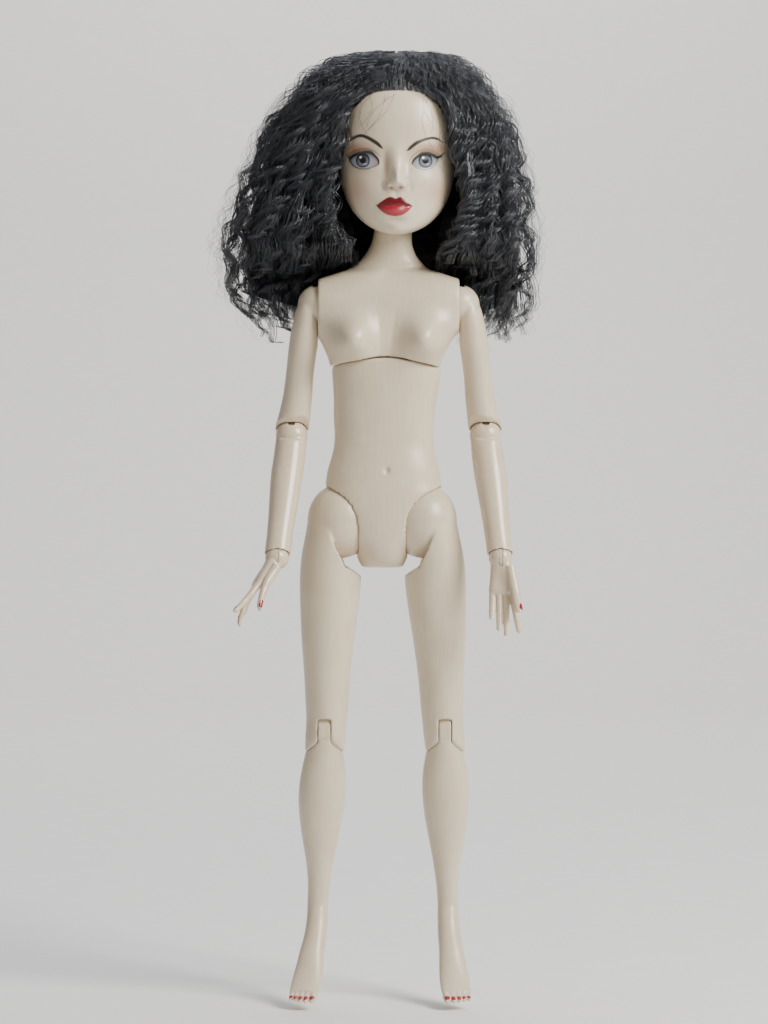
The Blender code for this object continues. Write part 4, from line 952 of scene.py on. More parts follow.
@dataclass
class Hand:
    """A hand with five separate digits and painted nails, on a slotted wrist ball."""

    side: Side
    palm_length: float = 15.5 * MM
    palm_half_width: float = 5.6 * MM
    palm_half_depth: float = 2.4 * MM
    finger_length: float = 18.5 * MM
    finger_radius: float = 1.45 * MM
    thumb_length: float = 20.5 * MM
    thumb_radius: float = 2.05 * MM
    wrist_radius: float = 5 * MM
    wrist_tongue: float = 1.4 * MM
    wrist_pin: float = 0.6 * MM
    bone_steps: int = 8
    knuckle_swell: float = 0.035
    tip_steps: int = 7
    tip_end: float = radians(86)

    PALM_SHARES = (
        (0.10, 0.0, 0.76, 1.55, 1.55),
        (0.25, 0.0, 0.80, 1.40, 1.40),
        (0.45, 0.02, 0.86, 1.20, 1.20),
        (0.68, 0.03, 0.95, 1.12, 1.14),
        (0.88, 0.0, 1.0, 1.05, 1.05),
        (1.0, 0.0, 0.96, 0.85, 0.85),
        (1.06, 0.0, 0.86, 0.50, 0.50),
    )
    FINGER_SHARES = (
        (0.72, 0.90, 0.96, 7, -8),
        (0.26, 0.96, 1.04, 0, 19),
        (-0.24, 0.93, 0.92, -1, 17),
        (-0.70, 0.82, 0.74, -3, 20),
    )
    JOINT_SHARES = (0.42, 0.32, 0.26)
    BEND_SHARES = (0.15, 0.5, 0.35)
    WIDTH_SHARES = (1.08, 1.0, 0.92, 0.80)
    # A nail's root above the tip and its length, in the tip's radii, and its angle from middle to side
    THUMBNAIL = (1.75, 2.1, radians(50))
    FINGERNAIL = (1.5, 1.55, radians(40))
    # How each hand leans about Y, bends about X and turns about Z, in degrees
    LEANS = {Side.RIGHT: (33, 0, 108), Side.LEFT: (-2, 10, -10)}

    def place(self) -> Matrix:
        """Returns how the hand lies on the wrist of a straight arm."""
        lean, forward, turn = (radians(angle) for angle in self.LEANS[self.side])
        return (
            Matrix.Translation(straight_wrist(self.side))
            @ Matrix.Rotation(lean, 4, "Y")
            @ Matrix.Rotation(forward, 4, "X")
            @ Matrix.Rotation(turn, 4, "Z")
            @ Matrix.Diagonal((self.side.value, 1, 1, 1))
        )

    def digits(self) -> list[Digit]:
        """Returns the four fingers and the thumb."""
        made = []
        for across, hang, length, splay, curl in self.FINGER_SHARES:
            root = Vector((across * self.palm_half_width, 0, -self.palm_length * hang))
            size = self.finger_length * length
            made.append(Digit(root, size, self.finger_radius, splay, curl, Vector((0, 1, 0))))
        root = Vector((0.74 * self.palm_half_width, -0.8 * self.palm_half_depth, -0.28 * self.palm_length))
        outward = Vector((0.93, -0.37, 0))
        made.append(Digit(root, self.thumb_length, self.thumb_radius, 9, 20, outward))
        return made

    def bones(self, digit: Digit) -> list[tuple[Vector, float, float]]:
        """Follows a digit's joints.

        Args:
            digit: the finger or thumb.

        Returns:
            The place, lean and radius at the root, at each joint and at the tip.
        """
        place, lean = digit.root.copy(), 0.0
        made = []
        for bend, share, width in zip(self.BEND_SHARES, self.JOINT_SHARES, self.WIDTH_SHARES):
            lean += radians(digit.curl) * bend
            made.append((place.copy(), lean, digit.radius * width))
            place += Vector((sin(radians(digit.splay)), -sin(lean), -cos(lean))) * digit.length * share
        made.append((place.copy(), lean, digit.radius * self.WIDTH_SHARES[-1]))
        return made

    def finger(self, digit: Digit) -> Shape:
        """Returns one digit: three phalanges, a little thicker at the knuckles, with a round tip."""
        bones = self.bones(digit)
        rings = [Ring(at.x, at.y, at.z, size, size, size, -lean, 2.0) for at, lean, size in bones]
        shaped = []
        for index, ring in enumerate(smooth_rings(rings, self.bone_steps)):
            knuckle = 1 + self.knuckle_swell * cos(2 * pi * index / self.bone_steps)
            shaped.append(ring._replace(half_width=ring.half_width * knuckle))
        at, lean, size = bones[-1]
        for step in range(1, self.tip_steps + 1):
            angle = self.tip_end * step / self.tip_steps
            place = at + way_down(lean) * digit.radius * 0.72 * sin(angle)
            narrow = size * cos(angle)
            shaped.append(Ring(place.x, place.y, place.z, narrow, narrow, narrow, -lean, 2.0))
        return loft(shaped, 24)

    def build(self) -> bpy.types.Object:
        """Builds the moulding.

        Returns:
            The finished object.
        """
        place, wrist = self.place(), straight_wrist(self.side)
        end = (0, 0, -self.palm_length)
        rows = rings_along(self.PALM_SHARES, (0, 0, 0), end, self.palm_half_width, self.palm_half_depth, 2.3)
        palm = loft(smooth_rings(rows, 5), 56)
        palm.swell((-0.1 * MM, -2 * MM, -11 * MM), (3 * MM, 3 * MM, 4.5 * MM), (0, 0.8 * MM, 0))
        palm.swell((3.4 * MM, -2 * MM, -6.5 * MM), (2.2 * MM, 3 * MM, 4 * MM), (0.3 * MM, -0.9 * MM, 0))
        hand = Moulding(f"{self.side.word}_hand_shell", palm.moved(place))
        for digit in self.digits():
            hand.join(self.finger(digit).moved(place))
        hand.join(ball(wrist, self.wrist_radius, sides=48))
        cut_end_slot(hand, wrist, self.wrist_tongue, self.wrist_radius)
        cut_pin(hand, wrist, (1, 0, 0), self.wrist_pin, self.wrist_radius * 0.78)
        made = hand.finish(0.24 * MM, 4)
        made.data.transform(rest_bend(PIVOTS[f"{self.side.word}_elbow_bend"]))
        return made

    def nails(self, hand: bpy.types.Object) -> bpy.types.Object:
        """Builds the five nail plates, each a thin curved shield on its fingertip.

        Args:
            hand: the finished hand.

        Returns:
            One object with the five plates.
        """
        skin = surface_of(hand)
        turn = rest_bend(PIVOTS[f"{self.side.word}_elbow_bend"]) @ self.place()
        plates = []
        for digit in self.digits():
            place, lean, size = self.bones(digit)[-1]
            down = way_down(lean)
            out = (digit.nail - down * digit.nail.dot(down)).normalized()
            root, length, wide = self.THUMBNAIL if digit.radius == self.thumb_radius else self.FINGERNAIL
            start = turn @ (place - down * root * size)
            spin = turn.to_3x3()
            down, out = (spin @ down).normalized(), (spin @ out).normalized()
            plates.append(nail_plate(skin, start, down, out, wide, length * size))
        return joined(plates).object(f"{self.side.word}_fingernails")


def surface_of(item: bpy.types.Object) -> BVHTree:
    """Returns a finished object's surface, to lay nails on."""
    corners = [vert.co for vert in item.data.vertices]
    return BVHTree.FromPolygons(corners, [face.vertices for face in item.data.polygons])


def nail_plate(skin: BVHTree, start: Vector, down: Vector, out: Vector, wide: float, length: float) -> Shape:
    """Returns a nail: a thin shield that lies on a digit's own surface.

    Args:
        skin: the digit's surface.
        start: a point on the digit's middle line, level with the nail's root.
        down: the way the digit points.
        out: the way the nail faces.
        wide: the angle from its middle to its side.
        length: how long the nail is.

    Returns:
        The closed plate.
    """
    across = down.cross(out)
    rows, sides = 14, 10
    shells: tuple[list, list] = ([], [])
    for row in range(rows + 1):
        along = row / rows
        reach = wide * sqrt(max(0.02, 1 - (2 * along - 1) ** 4)) * (0.9 + 0.1 * along)
        for side in range(sides + 1):
            angle = reach * (2 * side / sides - 1)
            way = out * cos(angle) + across * sin(angle)
            middle = start + down * length * along
            spot = skin.ray_cast(middle + way * 5 * MM, -way, 5 * MM)[0] or middle + way * MM
            rim = abs(2 * along - 1) ** 6
            shells[0].append((spot - way * 0.3 * MM)[:])
            shells[1].append((spot + way * (0.13 - 0.1 * max(rim, (2 * side / sides - 1) ** 6)) * MM)[:])
    return Shape(np.array(shells[0] + shells[1]), plate_faces(rows + 1, sides + 1))


@dataclass
class Thigh:
    """A thigh: a ball lobe in the torso's socket, a notch round it, and lobes beside the knee's tongue."""

    side: Side
    half_width: float = 13.4 * MM
    half_depth: float = 13.8 * MM
    hip_radius: float = 16 * MM
    hip_bulge_share: float = 0.86
    notch_radius: float = 23.2 * MM
    notch_inner: float = 16.2 * MM
    crease_outer: float = 25.9 * MM
    crease_radius: float = 12.1 * MM
    crease_step: float = 1.4 * MM
    hub_tongue: float = 5 * MM
    stub: float = 3.4 * MM
    knee_radius: float = 8.8 * MM
    knee_tongue: float = 5.2 * MM
    knee_slot_top: float = 5.4 * MM
    pin: float = 1.1 * MM
    spread: float = radians(35)

    # The turns about the knee between which the lobes end in a round
    ROUND = (radians(192), radians(405))

    SHARES = (
        (-0.10, -0.04, 0.63, 0.62, 0.64),
        (-0.045, -0.04, 0.65, 0.66, 0.68),
        (0.05, -0.04, 0.66, 0.68, 0.68),
        (0.13, -0.01, 0.69, 0.72, 0.72),
        (0.28, 0.05, 0.75, 0.80, 0.79),
        (0.43, 0.10, 0.845, 0.88, 0.87),
        (0.585, 0.127, 0.935, 0.96, 0.96),
        (0.70, 0.15, 0.98, 1.02, 1.03),
        (0.82, 0.175, 0.97, 1.09, 1.10),
        (0.92, 0.18, 0.895, 1.11, 1.11),
        (1.0, 0.25, 0.76, 1.04, 1.04),
        (1.06, 0.34, 0.56, 0.86, 0.86),
    )

    def build(self) -> bpy.types.Object:
        """Builds the moulding.

        Returns:
            The finished object.
        """
        word, sign = self.side.word, self.side.value
        hip, knee = PIVOTS[f"{word}_hip_swing"], PIVOTS[f"{word}_knee_bend"]
        middle = (PIVOTS["right_hip_swing"].x + PIVOTS["left_hip_swing"].x) / 2
        rings = limb_rings(self.SHARES, self.side, knee, hip, self.half_width, self.half_depth)
        thigh = Moulding(f"{word}_thigh_shell", loft(smooth_rings(rings, 6), 96))
        notch = (
            (hip.x - sign * OVERRUN, self.notch_radius),
            (middle + sign * self.notch_inner, self.notch_radius),
            (middle + sign * (self.notch_inner + GAP), self.notch_radius - self.crease_step),
            (middle + sign * self.crease_outer, self.crease_radius),
        )
        thigh.cut(turned_about_x(notch, hip))
        lobe = ball(hip, self.hip_radius, sides=96)
        outer = sign * (lobe.points[:, 0] - hip.x) > 0
        lobe.points[outer, 0] = hip.x + (lobe.points[outer, 0] - hip.x) * self.hip_bulge_share
        thigh.join(lobe)
        cut_side_slot(thigh, hip, sign, self.hub_tongue, self.hip_radius * 0.58, self.stub, self.spread)
        cut_pin(thigh, hip, (0, 1, 0), self.pin, self.hip_radius * 0.75)
        first, last = self.ROUND
        below = [(knee.y - OVERRUN, knee.z + self.knee_radius * sin(first))]
        below += arc((knee.y, knee.z), self.knee_radius, first, last)
        below += [
            (knee.y + OVERRUN * cos(last), knee.z + OVERRUN * sin(last)),
            (knee.y + OVERRUN, knee.z - OVERRUN),
            (knee.y - OVERRUN, knee.z - OVERRUN),
        ]
        thigh.cut(prism(below, 0, knee.x, 2 * OVERRUN))
        reach = self.knee_radius + GAP
        brow = pi - asin(self.knee_slot_top / reach)
        slot = arc((knee.y, knee.z), reach, brow, -pi / 2)
        slot += [(knee.y, knee.z - OVERRUN), (knee.y - OVERRUN, knee.z - OVERRUN)]
        slot.append((knee.y - OVERRUN, knee.z + self.knee_slot_top))
        thigh.cut(prism(slot, 0, knee.x, self.knee_tongue + 2 * GAP))
        cut_pin(thigh, knee, (1, 0, 0), self.pin, self.knee_radius * 0.8)
        return thigh.finish(0.62 * MM, 3)


def turned_about_x(rows: Sequence[tuple[float, float]], centre: Vector) -> Shape:
    """Returns a solid turned about a line along X, from rows of place along X and radius."""
    made = turned_solid(rows, 120)
    x, y, z = made.points.T
    return Shape(np.stack([z, x + centre.y, y + centre.z], axis=-1), made.faces)


class Toe(NamedTuple):
    """A toe: its place across the foot, its thickness and its length, as shares."""

    across: float
    size: float
    length: float


@dataclass
class Shin:
    """A shin with its moulded high-heel foot, and a tongue up into the knee."""

    side: Side
    half_width: float = 9.4 * MM
    ankle_middle: float = -0.5 * MM
    ankle_spacing: float = 28 * MM
    ankle_drop: float = 201.5 * MM
    foot_half_width: float = 6.4 * MM
    foot_drop: float = 38.3 * MM
    foot_reach: float = 30 * MM
    knee_radius: float = 8.8 * MM
    knee_tongue: float = 5.2 * MM
    stem_share: float = 1.35
    toe_radius: float = 1.4 * MM
    toe_length: float = 6.2 * MM
    pin: float = 1.1 * MM

    SHARES = (
        (0.0, 0.0, 0.48, 0.46, 0.50),
        (0.10, -0.02, 0.51, 0.48, 0.55),
        (0.23, -0.02, 0.63, 0.56, 0.70),
        (0.37, 0.0, 0.83, 0.69, 0.92),
        (0.50, 0.0, 1.00, 0.81, 1.10),
        (0.63, 0.0, 1.08, 0.88, 1.18),
        (0.76, -0.02, 1.02, 0.89, 1.08),
        (0.88, -0.02, 0.86, 0.90, 0.96),
        (0.98, 0.0, 0.84, 0.92, 0.92),
        (1.10, 0.0, 0.84, 0.92, 0.92),
    )
    FOOT_SHARES = (
        (0.12, 0.03, 16, 0.71, 0.74, 0.86),
        (0.26, 0.10, 32, 0.74, 0.76, 1.08),
        (0.40, 0.22, 44, 0.78, 0.74, 0.98),
        (0.54, 0.36, 50, 0.84, 0.70, 0.74),
        (0.68, 0.50, 53, 0.93, 0.62, 0.60),
        (0.80, 0.65, 60, 1.0, 0.50, 0.52),
        (0.89, 0.80, 72, 1.0, 0.36, 0.40),
        (0.935, 0.90, 80, 0.95, 0.26, 0.28),
    )
    TOES = (
        Toe(-0.74, 1.12, 1.0),
        Toe(-0.33, 0.98, 1.06),
        Toe(0.05, 0.92, 1.0),
        Toe(0.40, 0.86, 0.90),
        Toe(0.74, 0.82, 0.76),
    )
    TOE_TILT = radians(22)
    # How far each foot turns outwards, in degrees
    TOES_OUT = {Side.RIGHT: 12, Side.LEFT: 7}

    def ankle(self) -> Vector:
        """Returns the ankle's place."""
        return Vector((self.ankle_middle + self.side.value * self.ankle_spacing, MM, -self.ankle_drop))

    def toe_out(self) -> float:
        """Returns how far the foot turns outwards."""
        return self.side.value * radians(self.TOES_OUT[self.side])

    def toe_frames(self) -> list[tuple[Vector, Vector]]:
        """Returns each toe's middle and half sizes, in the ankle's own frame."""
        made = []
        for toe in self.TOES:
            across = self.side.value * toe.across * self.foot_half_width
            start = Vector((across, -self.foot_reach * 0.84, -self.foot_drop * 0.935))
            middle = start + Vector((0, -self.toe_length * toe.length, -self.toe_radius * 1.1)) / 2
            thick = self.toe_radius * toe.size
            made.append((middle, Vector((thick, self.toe_length * toe.length * 0.75, thick))))
        return made

    def build(self) -> bpy.types.Object:
        """Builds the moulding.

        Returns:
            The finished object.
        """
        word, ankle = self.side.word, self.ankle()
        knee = PIVOTS[f"{word}_knee_bend"]
        rings = limb_rings(self.SHARES, self.side, ankle, knee, self.half_width, self.half_width)[::-1]
        for down, ahead, pitch, width, top, sole in self.FOOT_SHARES:
            y, z = ankle.y - ahead * self.foot_reach, ankle.z - down * self.foot_drop
            sizes = (share * self.foot_half_width for share in (width, top, sole))
            rings.append(Ring(ankle.x, y, z, *sizes, radians(pitch), 2.0))
        shape = loft(smooth_rings(rings, 5), 84)
        away = shape.points - np.array(ankle)
        turn = self.toe_out() * np.clip(-2 * away[:, 2] / self.foot_drop, 0, 1)
        shape.points[:, 0] = ankle.x + away[:, 0] * np.cos(turn) - away[:, 1] * np.sin(turn)
        shape.points[:, 1] = ankle.y + away[:, 0] * np.sin(turn) + away[:, 1] * np.cos(turn)
        shin = Moulding(f"{word}_shin_shell", shape)
        whole = Vector((OVERRUN, 0, 0))
        turned = Matrix.Translation(ankle) @ Matrix.Rotation(self.toe_out(), 4, "Z")
        for middle, size in self.toe_frames():
            toe = ball((0, 0, 0), 1, size, 32)
            shin.join(toe.moved(turned @ Matrix.Translation(middle) @ Matrix.Rotation(self.TOE_TILT, 4, "X")))
        shin.cut(rod(knee - whole, knee + whole, self.knee_radius + GAP, sides=96))
        above = wedge((knee.y, knee.z), radians(-60), radians(70), OVERRUN)
        above += wedge((knee.y, knee.z), radians(110), radians(206), OVERRUN)[1:]
        shin.cut(prism(above, 0, knee.x, 2 * OVERRUN))
        tongue = arc((knee.y, knee.z), self.knee_radius, radians(-60), radians(240))
        stem = knee.z - self.knee_radius * self.stem_share
        tongue += [(knee.y - self.knee_radius / 2, stem), (knee.y + self.knee_radius / 2, stem)]
        shin.join(prism(tongue, 0, knee.x, self.knee_tongue))
        shin.cut(rod(knee - whole, knee + whole, self.pin + GAP, sides=24))
        return shin.finish(0.46 * MM, 3)

    def nails(self, shin: bpy.types.Object) -> bpy.types.Object:
        """Builds the five toenails.

        Args:
            shin: the finished shin and foot.

        Returns:
            One object with the five plates.
        """
        skin = surface_of(shin)
        turned = Matrix.Translation(self.ankle()) @ Matrix.Rotation(self.toe_out(), 4, "Z")
        plates = []
        for middle, size in self.toe_frames():
            place = turned @ Matrix.Translation(middle) @ Matrix.Rotation(self.TOE_TILT, 4, "X")
            spin = place.to_3x3()
            start = place @ Vector((0, -size.y * 0.30, 0))
            down, out = spin @ Vector((0, -1, 0)), spin @ Vector((0, -0.25, 1)).normalized()
            out = (out - down * out.dot(down)).normalized()
            plates.append(nail_plate(skin, start, down, out, radians(52), size.y * 0.5))
        return joined(plates).object(f"{self.side.word}_toenails")

# Head


class Canvas:
    """The face as the photograph's frame sees it: masks of strokes, patches and soft spots on its points."""

    def __init__(self, points: np.ndarray, front: np.ndarray) -> None:
        """Takes the points and whether each faces the front."""
        self.x, self.y = to_pixels(points)
        self.front = front

    def spot(self, x: float, y: float, wide: float, tall: float) -> np.ndarray:
        """Returns a soft round mask about a pixel."""
        return np.exp(-(((self.x - x) / wide) ** 2) - ((self.y - y) / tall) ** 2) * self.front

    def _near(self, rows: np.ndarray, margin: float) -> np.ndarray:
        """Returns which points lie in the box round some rows of pixels."""
        low, high = rows[:, :2].min(0) - margin, rows[:, :2].max(0) + margin
        inside = (self.x > low[0]) & (self.x < high[0]) & (self.y > low[1]) & (self.y < high[1])
        return np.nonzero(inside & (self.front > 0))[0]

    def stroke(self, rows: Sequence[Sequence[float]], soft: float = 0.45) -> np.ndarray:
        """Masks a brush stroke.

        Args:
            rows: the column, row and width of a few points along it, in pixels.
            soft: how far its edge fades, in pixels.

        Returns:
            The mask.
        """
        line = spline(rows)
        made = np.zeros(len(self.x))
        near = self._near(line, 4)
        if len(near):
            gap = np.hypot(self.x[near, None] - line[None, :, 0], self.y[near, None] - line[None, :, 1])
            edge = (gap - line[None, :, 2] / 2).min(1)
            made[near] = np.clip(0.5 - edge / (2 * soft), 0, 1)
        return made * self.front

    def depth_in(self, outline: np.ndarray) -> np.ndarray:
        """Returns how far each point lies inside a closed outline, negative outside, in pixels."""
        made = np.full(len(self.x), -9.0)
        near = self._near(outline, 8)
        x, y = self.x[near, None], self.y[near, None]
        ax, ay = outline[None, :, 0], outline[None, :, 1]
        bx, by = np.roll(ax, -1, 1), np.roll(ay, -1, 1)
        long = np.maximum((bx - ax) ** 2 + (by - ay) ** 2, 1e-9)
        share = np.clip(((x - ax) * (bx - ax) + (y - ay) * (by - ay)) / long, 0, 1)
        gap = np.hypot(x - ax - share * (bx - ax), y - ay - share * (by - ay)).min(1)
        rise = np.where(by == ay, 1e-9, by - ay)
        crossed = ((ay > y) != (by > y)) & (x < (bx - ax) * (y - ay) / rise + ax)
        made[near] = np.where(crossed.sum(1) % 2 == 1, gap, -gap)
        return made

    def patch(self, outline: np.ndarray, soft: float = 0.45) -> np.ndarray:
        """Returns the mask of a closed outline's inside, its edge fading over a few tenths of a pixel."""
        return np.clip(0.5 + self.depth_in(outline) / (2 * soft), 0, 1) * self.front


class Paint:
    """Layers of paint on a mesh's points, with how much each covers the skin and shines."""

    def __init__(self, count: int) -> None:
        """Starts with bare skin."""
        self.colour = np.full((count, 3), 0.3)
        self.cover = np.zeros(count)
        self.gloss = np.zeros(count)

    def lay(self, mask: np.ndarray, code: str, amount: float = 1.0, gloss: float | None = None) -> None:
        """Lays one colour over what is there.

        Args:
            mask: where it goes, from 0 to 1.
            code: its sRGB hex colour.
            amount: how strongly it covers.
            gloss: how much it shines, or None to leave that as it is.
        """
        top = mask * amount
        rest = self.cover * (1 - top)
        total = np.maximum(top + rest, 1e-6)
        colour = np.array(linear(code)[:3])
        self.colour = (colour[None] * top[:, None] + self.colour * rest[:, None]) / total[:, None]
        self.cover = top + rest
        if gloss is not None:
            self.gloss = self.gloss * (1 - top) + gloss * top

    def store(self, mesh: bpy.types.Mesh) -> None:
        """Writes the layers into the mesh's attributes paint and gloss."""
        paint = mesh.attributes.new("paint", "FLOAT_COLOR", "POINT")
        paint.data.foreach_set("color", np.column_stack([self.colour, self.cover]).ravel())
        add_values(mesh, "gloss", self.gloss)


@dataclass(frozen=True)
class Eye:
    """One painted eye, its curves in the photograph's pixels from the viewer's left to right."""

    upper: tuple[tuple[float, float, float], ...]
    lower: tuple[tuple[float, float, float], ...]
    crease: tuple[tuple[float, float, float], ...]
    brow: tuple[tuple[float, float, float], ...]
    iris: tuple[float, float, float]
    light: tuple[float, float, float]
    outer: int

    def outline(self) -> np.ndarray:
        """Returns the eye's opening as one closed outline."""
        return np.vstack([spline(self.upper), spline(self.lower)[::-1]])[:, :2]

    def paint(self, canvas: Canvas, paint: Paint) -> None:
        """Paints the lid, the ball with its painted shade and highlights, the lines and the lashes.

        Args:
            canvas: the face.
            paint: the layers to add to.
        """
        x, y, radius = self.iris
        side = self.outer
        paint.lay(canvas.spot(x + side * 4, y - 11.5, 15, 6.5), "a06a48", 0.62)
        paint.lay(canvas.spot(x + side * 8, y - 9, 9, 4.5), "8f5335", 0.42)
        paint.lay(canvas.spot(x - side * 9, y - 8, 7, 5), "a87c5c", 0.3)
        paint.lay(canvas.spot(x - side * 2, y + 11, 13, 3), "c39374", 0.25)
        opening = canvas.patch(self.outline())
        paint.lay(opening, "a4aab1", 1.0, 0.8)
        # painted shade: the whites darken under the upper lid and towards both corners of the eye
        shade = np.clip(1 - (canvas.y - (y - 8)) / 7, 0, 1)
        paint.lay(opening * shade, "4d5258", 0.9)
        corner = np.clip((np.abs(canvas.x - x) - 8.5) / 5, 0, 1)
        paint.lay(opening * corner, "6f6b70", 0.6)
        inner = np.clip(1 - np.abs(canvas.x - (x - side * 12.5)) / 3.5, 0, 1)
        paint.lay(opening * inner, "c79486", 0.55)
        away = np.hypot(canvas.x - x, canvas.y - y)
        turn = np.arctan2(canvas.y - y, canvas.x - x)
        disc = np.clip(0.5 + (radius - away) / 0.9, 0, 1) * opening
        paint.lay(disc, "47474f", 1.0, 1.0)
        # painted light: the iris is lighter in its lower part
        low = np.clip((canvas.y - y + 2) / 6, 0, 1)
        paint.lay(disc * low, "8a8591", 0.8)
        streak = 0.5 + 0.5 * np.sin(turn * 23 + 2 * np.sin(turn * 7))
        band = np.clip((away - 3) / 1.5, 0, 1) * np.clip((radius - 0.8 - away) / 1.2, 0, 1)
        paint.lay(disc * streak * band, "bdb8c2", 0.4)
        paint.lay(disc * (1 - streak) * band, "2f3138", 0.45)
        paint.lay(disc * np.clip((away - radius + 1.6) / 1.1, 0, 1), "14181d", 0.95)
        lid_shade = np.clip((y - 1.2 - canvas.y) / 4.5, 0, 1)
        paint.lay(disc * lid_shade, "10171c", 0.85)
        paint.lay(np.clip(0.5 + (3.1 - away) / 0.9, 0, 1) * opening, "06080a", 1.0)
        # painted highlights: a white catch-light and a pale glow low in the iris
        light_x, light_y, size = self.light
        light = np.hypot(canvas.x - light_x, canvas.y - light_y)
        paint.lay(np.clip(0.5 + (size - light) / 0.7, 0, 1), "ffffff")
        glow = np.hypot((canvas.x - x - 2.4) / 2.6, (canvas.y - y - 3.6) / 1.3)
        paint.lay(np.clip(1 - glow, 0, 1) * disc, "e8eef8", 0.55)
        paint.lay(canvas.stroke(self.crease, 0.7), "5d4033", 0.7)
        paint.lay(canvas.stroke(self.lower, 0.5), "1c2226", 0.9)
        above = tuple((x0, y0 - 0.9, wide + 0.8) for x0, y0, wide in self.upper)
        paint.lay(canvas.stroke(above, 0.9), "3a2c24", 0.6)
        paint.lay(canvas.stroke(self.upper, 0.4), "0b0f11", 1.0, 0.4)
        self._lash(canvas, paint)
        brow = tuple((x0, y0, wide * 1.2) for x0, y0, wide in self.brow)
        paint.lay(canvas.stroke(brow, 0.5), "241a14", 0.93)
        for index, (x0, y0, wide) in enumerate(spline(self.brow, 5)[1:-1]):
            if wide > 1.4:
                lean = side * (1.6 + 0.25 * (index % 3))
                root, tip = (x0 - lean, y0 + 0.55 * wide, 0.5), (x0 + lean, y0 - 0.62 * wide, 0.3)
                paint.lay(canvas.stroke((root, (x0, y0 - 0.1, 0.7), tip), 0.35), "15100d", 0.8)

    def _lash(self, canvas: Canvas, paint: Paint) -> None:
        """Paints the lashes: a fan off the outer half of the upper line and short ones under the eye.

        Args:
            canvas: the face.
            paint: the layers to add to.
        """
        side = self.outer
        upper = spline(self.upper, 8)
        lower = spline(self.lower, 8)
        if side > 0:
            upper, lower = upper[::-1], lower[::-1]
        reach = len(upper)
        for index in range(0, int(reach * 0.92), 2):
            x, y, _ = upper[index]
            share = 1 - index / reach
            tip = (x + side * (0.6 + 3.6 * share**2), y - 2.0 - 2.4 * share, 0.25)
            bend = (x + side * (0.2 + 1.6 * share), y - 1.6 - 0.6 * share, 0.6)
            paint.lay(canvas.stroke(((x, y, 1.0), bend, tip), 0.4), "14181a", 0.85)
            under = (x + side * 0.4, y + 2.6 + 0.8 * share, 0.3)
            paint.lay(canvas.stroke(((x, y, 1.1), under), 0.4), "181b1e", 0.55)
        for index in range(1, int(reach * 0.75), 3):
            x, y, _ = lower[index]
            share = 1 - index / reach
            tip = (x + side * (0.5 + 1.6 * share), y + 2.1 + 0.6 * share, 0.25)
            paint.lay(canvas.stroke(((x, y, 0.6), tip), 0.35), "2a2422", 0.6)


VIEWER_LEFT_EYE = Eye(
    upper=(
        (349.6, 159.4, 1.2), (351.6, 157.2, 2.0), (356.8, 154.4, 2.1), (365, 152.4, 2.0), (371, 152.8, 1.8),
        (375, 156.2, 1.5), (378.4, 160.2, 1.1), (378.6, 164.2, 0.8),
    ),
    lower=(
        (349.6, 159.6, 1.0), (351.4, 163.4, 1.4), (354, 166.3, 1.3), (359.3, 168.6, 1.1), (365, 169.0, 0.9),
        (369.8, 168.2, 0.8), (375, 166.4, 0.7), (378.6, 164.4, 0.6),
    ),
    crease=((351, 152.6, 0.5), (357, 149.8, 1.0), (366, 148.4, 1.1), (374, 151.2, 1.0), (380.2, 156.6, 0.5)),
    brow=(
        (346.2, 143.4, 0.7), (351, 139.4, 1.6), (360, 135.6, 2.5), (368, 137.9, 3.1), (376, 142.6, 3.4),
        (380, 146.0, 2.6), (382.2, 148.4, 0.8),
    ),
    iris=(362.9, 160.4, 6.9),
    light=(360.6, 157.3, 1.2),
    outer=-1,
)
VIEWER_RIGHT_EYE = Eye(
    upper=(
        (411.9, 164.0, 0.8), (413.6, 160.4, 1.2), (417.5, 157.0, 1.6), (421.8, 154.0, 1.9), (428, 153.6, 2.1),
        (433.3, 155.6, 2.3), (437.2, 157.6, 2.2), (441.6, 156.4, 0.8),
    ),
    lower=(
        (411.9, 164.2, 0.6), (414.6, 167.4, 0.7), (420, 168.9, 0.8), (426, 169.3, 0.9), (430, 168.7, 1.1),
        (433.3, 167.2, 1.3), (436.2, 163.4, 1.5), (438.0, 158.6, 1.2),
    ),
    crease=(
        (409.6, 159.6, 0.5), (413.6, 155.0, 0.9), (420, 150.8, 1.1), (429, 149.6, 1.0), (438.4, 153.6, 0.5),
    ),
    brow=(
        (407.6, 150.6, 0.8), (409.6, 148.6, 2.6), (413.5, 145.2, 3.1), (417.8, 142.3, 3.1),
        (426.3, 139.1, 2.4), (433.3, 137.9, 1.9), (438.6, 139.7, 1.4), (443.4, 142.8, 0.7),
    ),
    iris=(425.5, 160.6, 7.0),
    light=(423.2, 157.6, 1.2),
    outer=1,
)
UPPER_LIP = (
    (376.4, 205.4), (381.4, 201.4), (386.6, 197.9), (391.2, 196.6), (395.8, 198.3), (400.3, 196.8),
    (405.0, 199.2), (409.4, 202.9), (412.4, 206.0),
)
MOUTH_LINE = (
    (376.4, 205.4), (382, 205.3), (389, 205.4), (393, 204.4), (396.8, 205.0), (401, 205.1), (406, 206.3),
    (412.4, 206.0),
)
LOWER_LIP = (
    (376.4, 205.4), (379.4, 209.4), (384.8, 213.6), (390.6, 215.8), (396.8, 216.2), (402.8, 214.9),
    (407.6, 211.8), (410.6, 208.6), (412.4, 206.0),
)


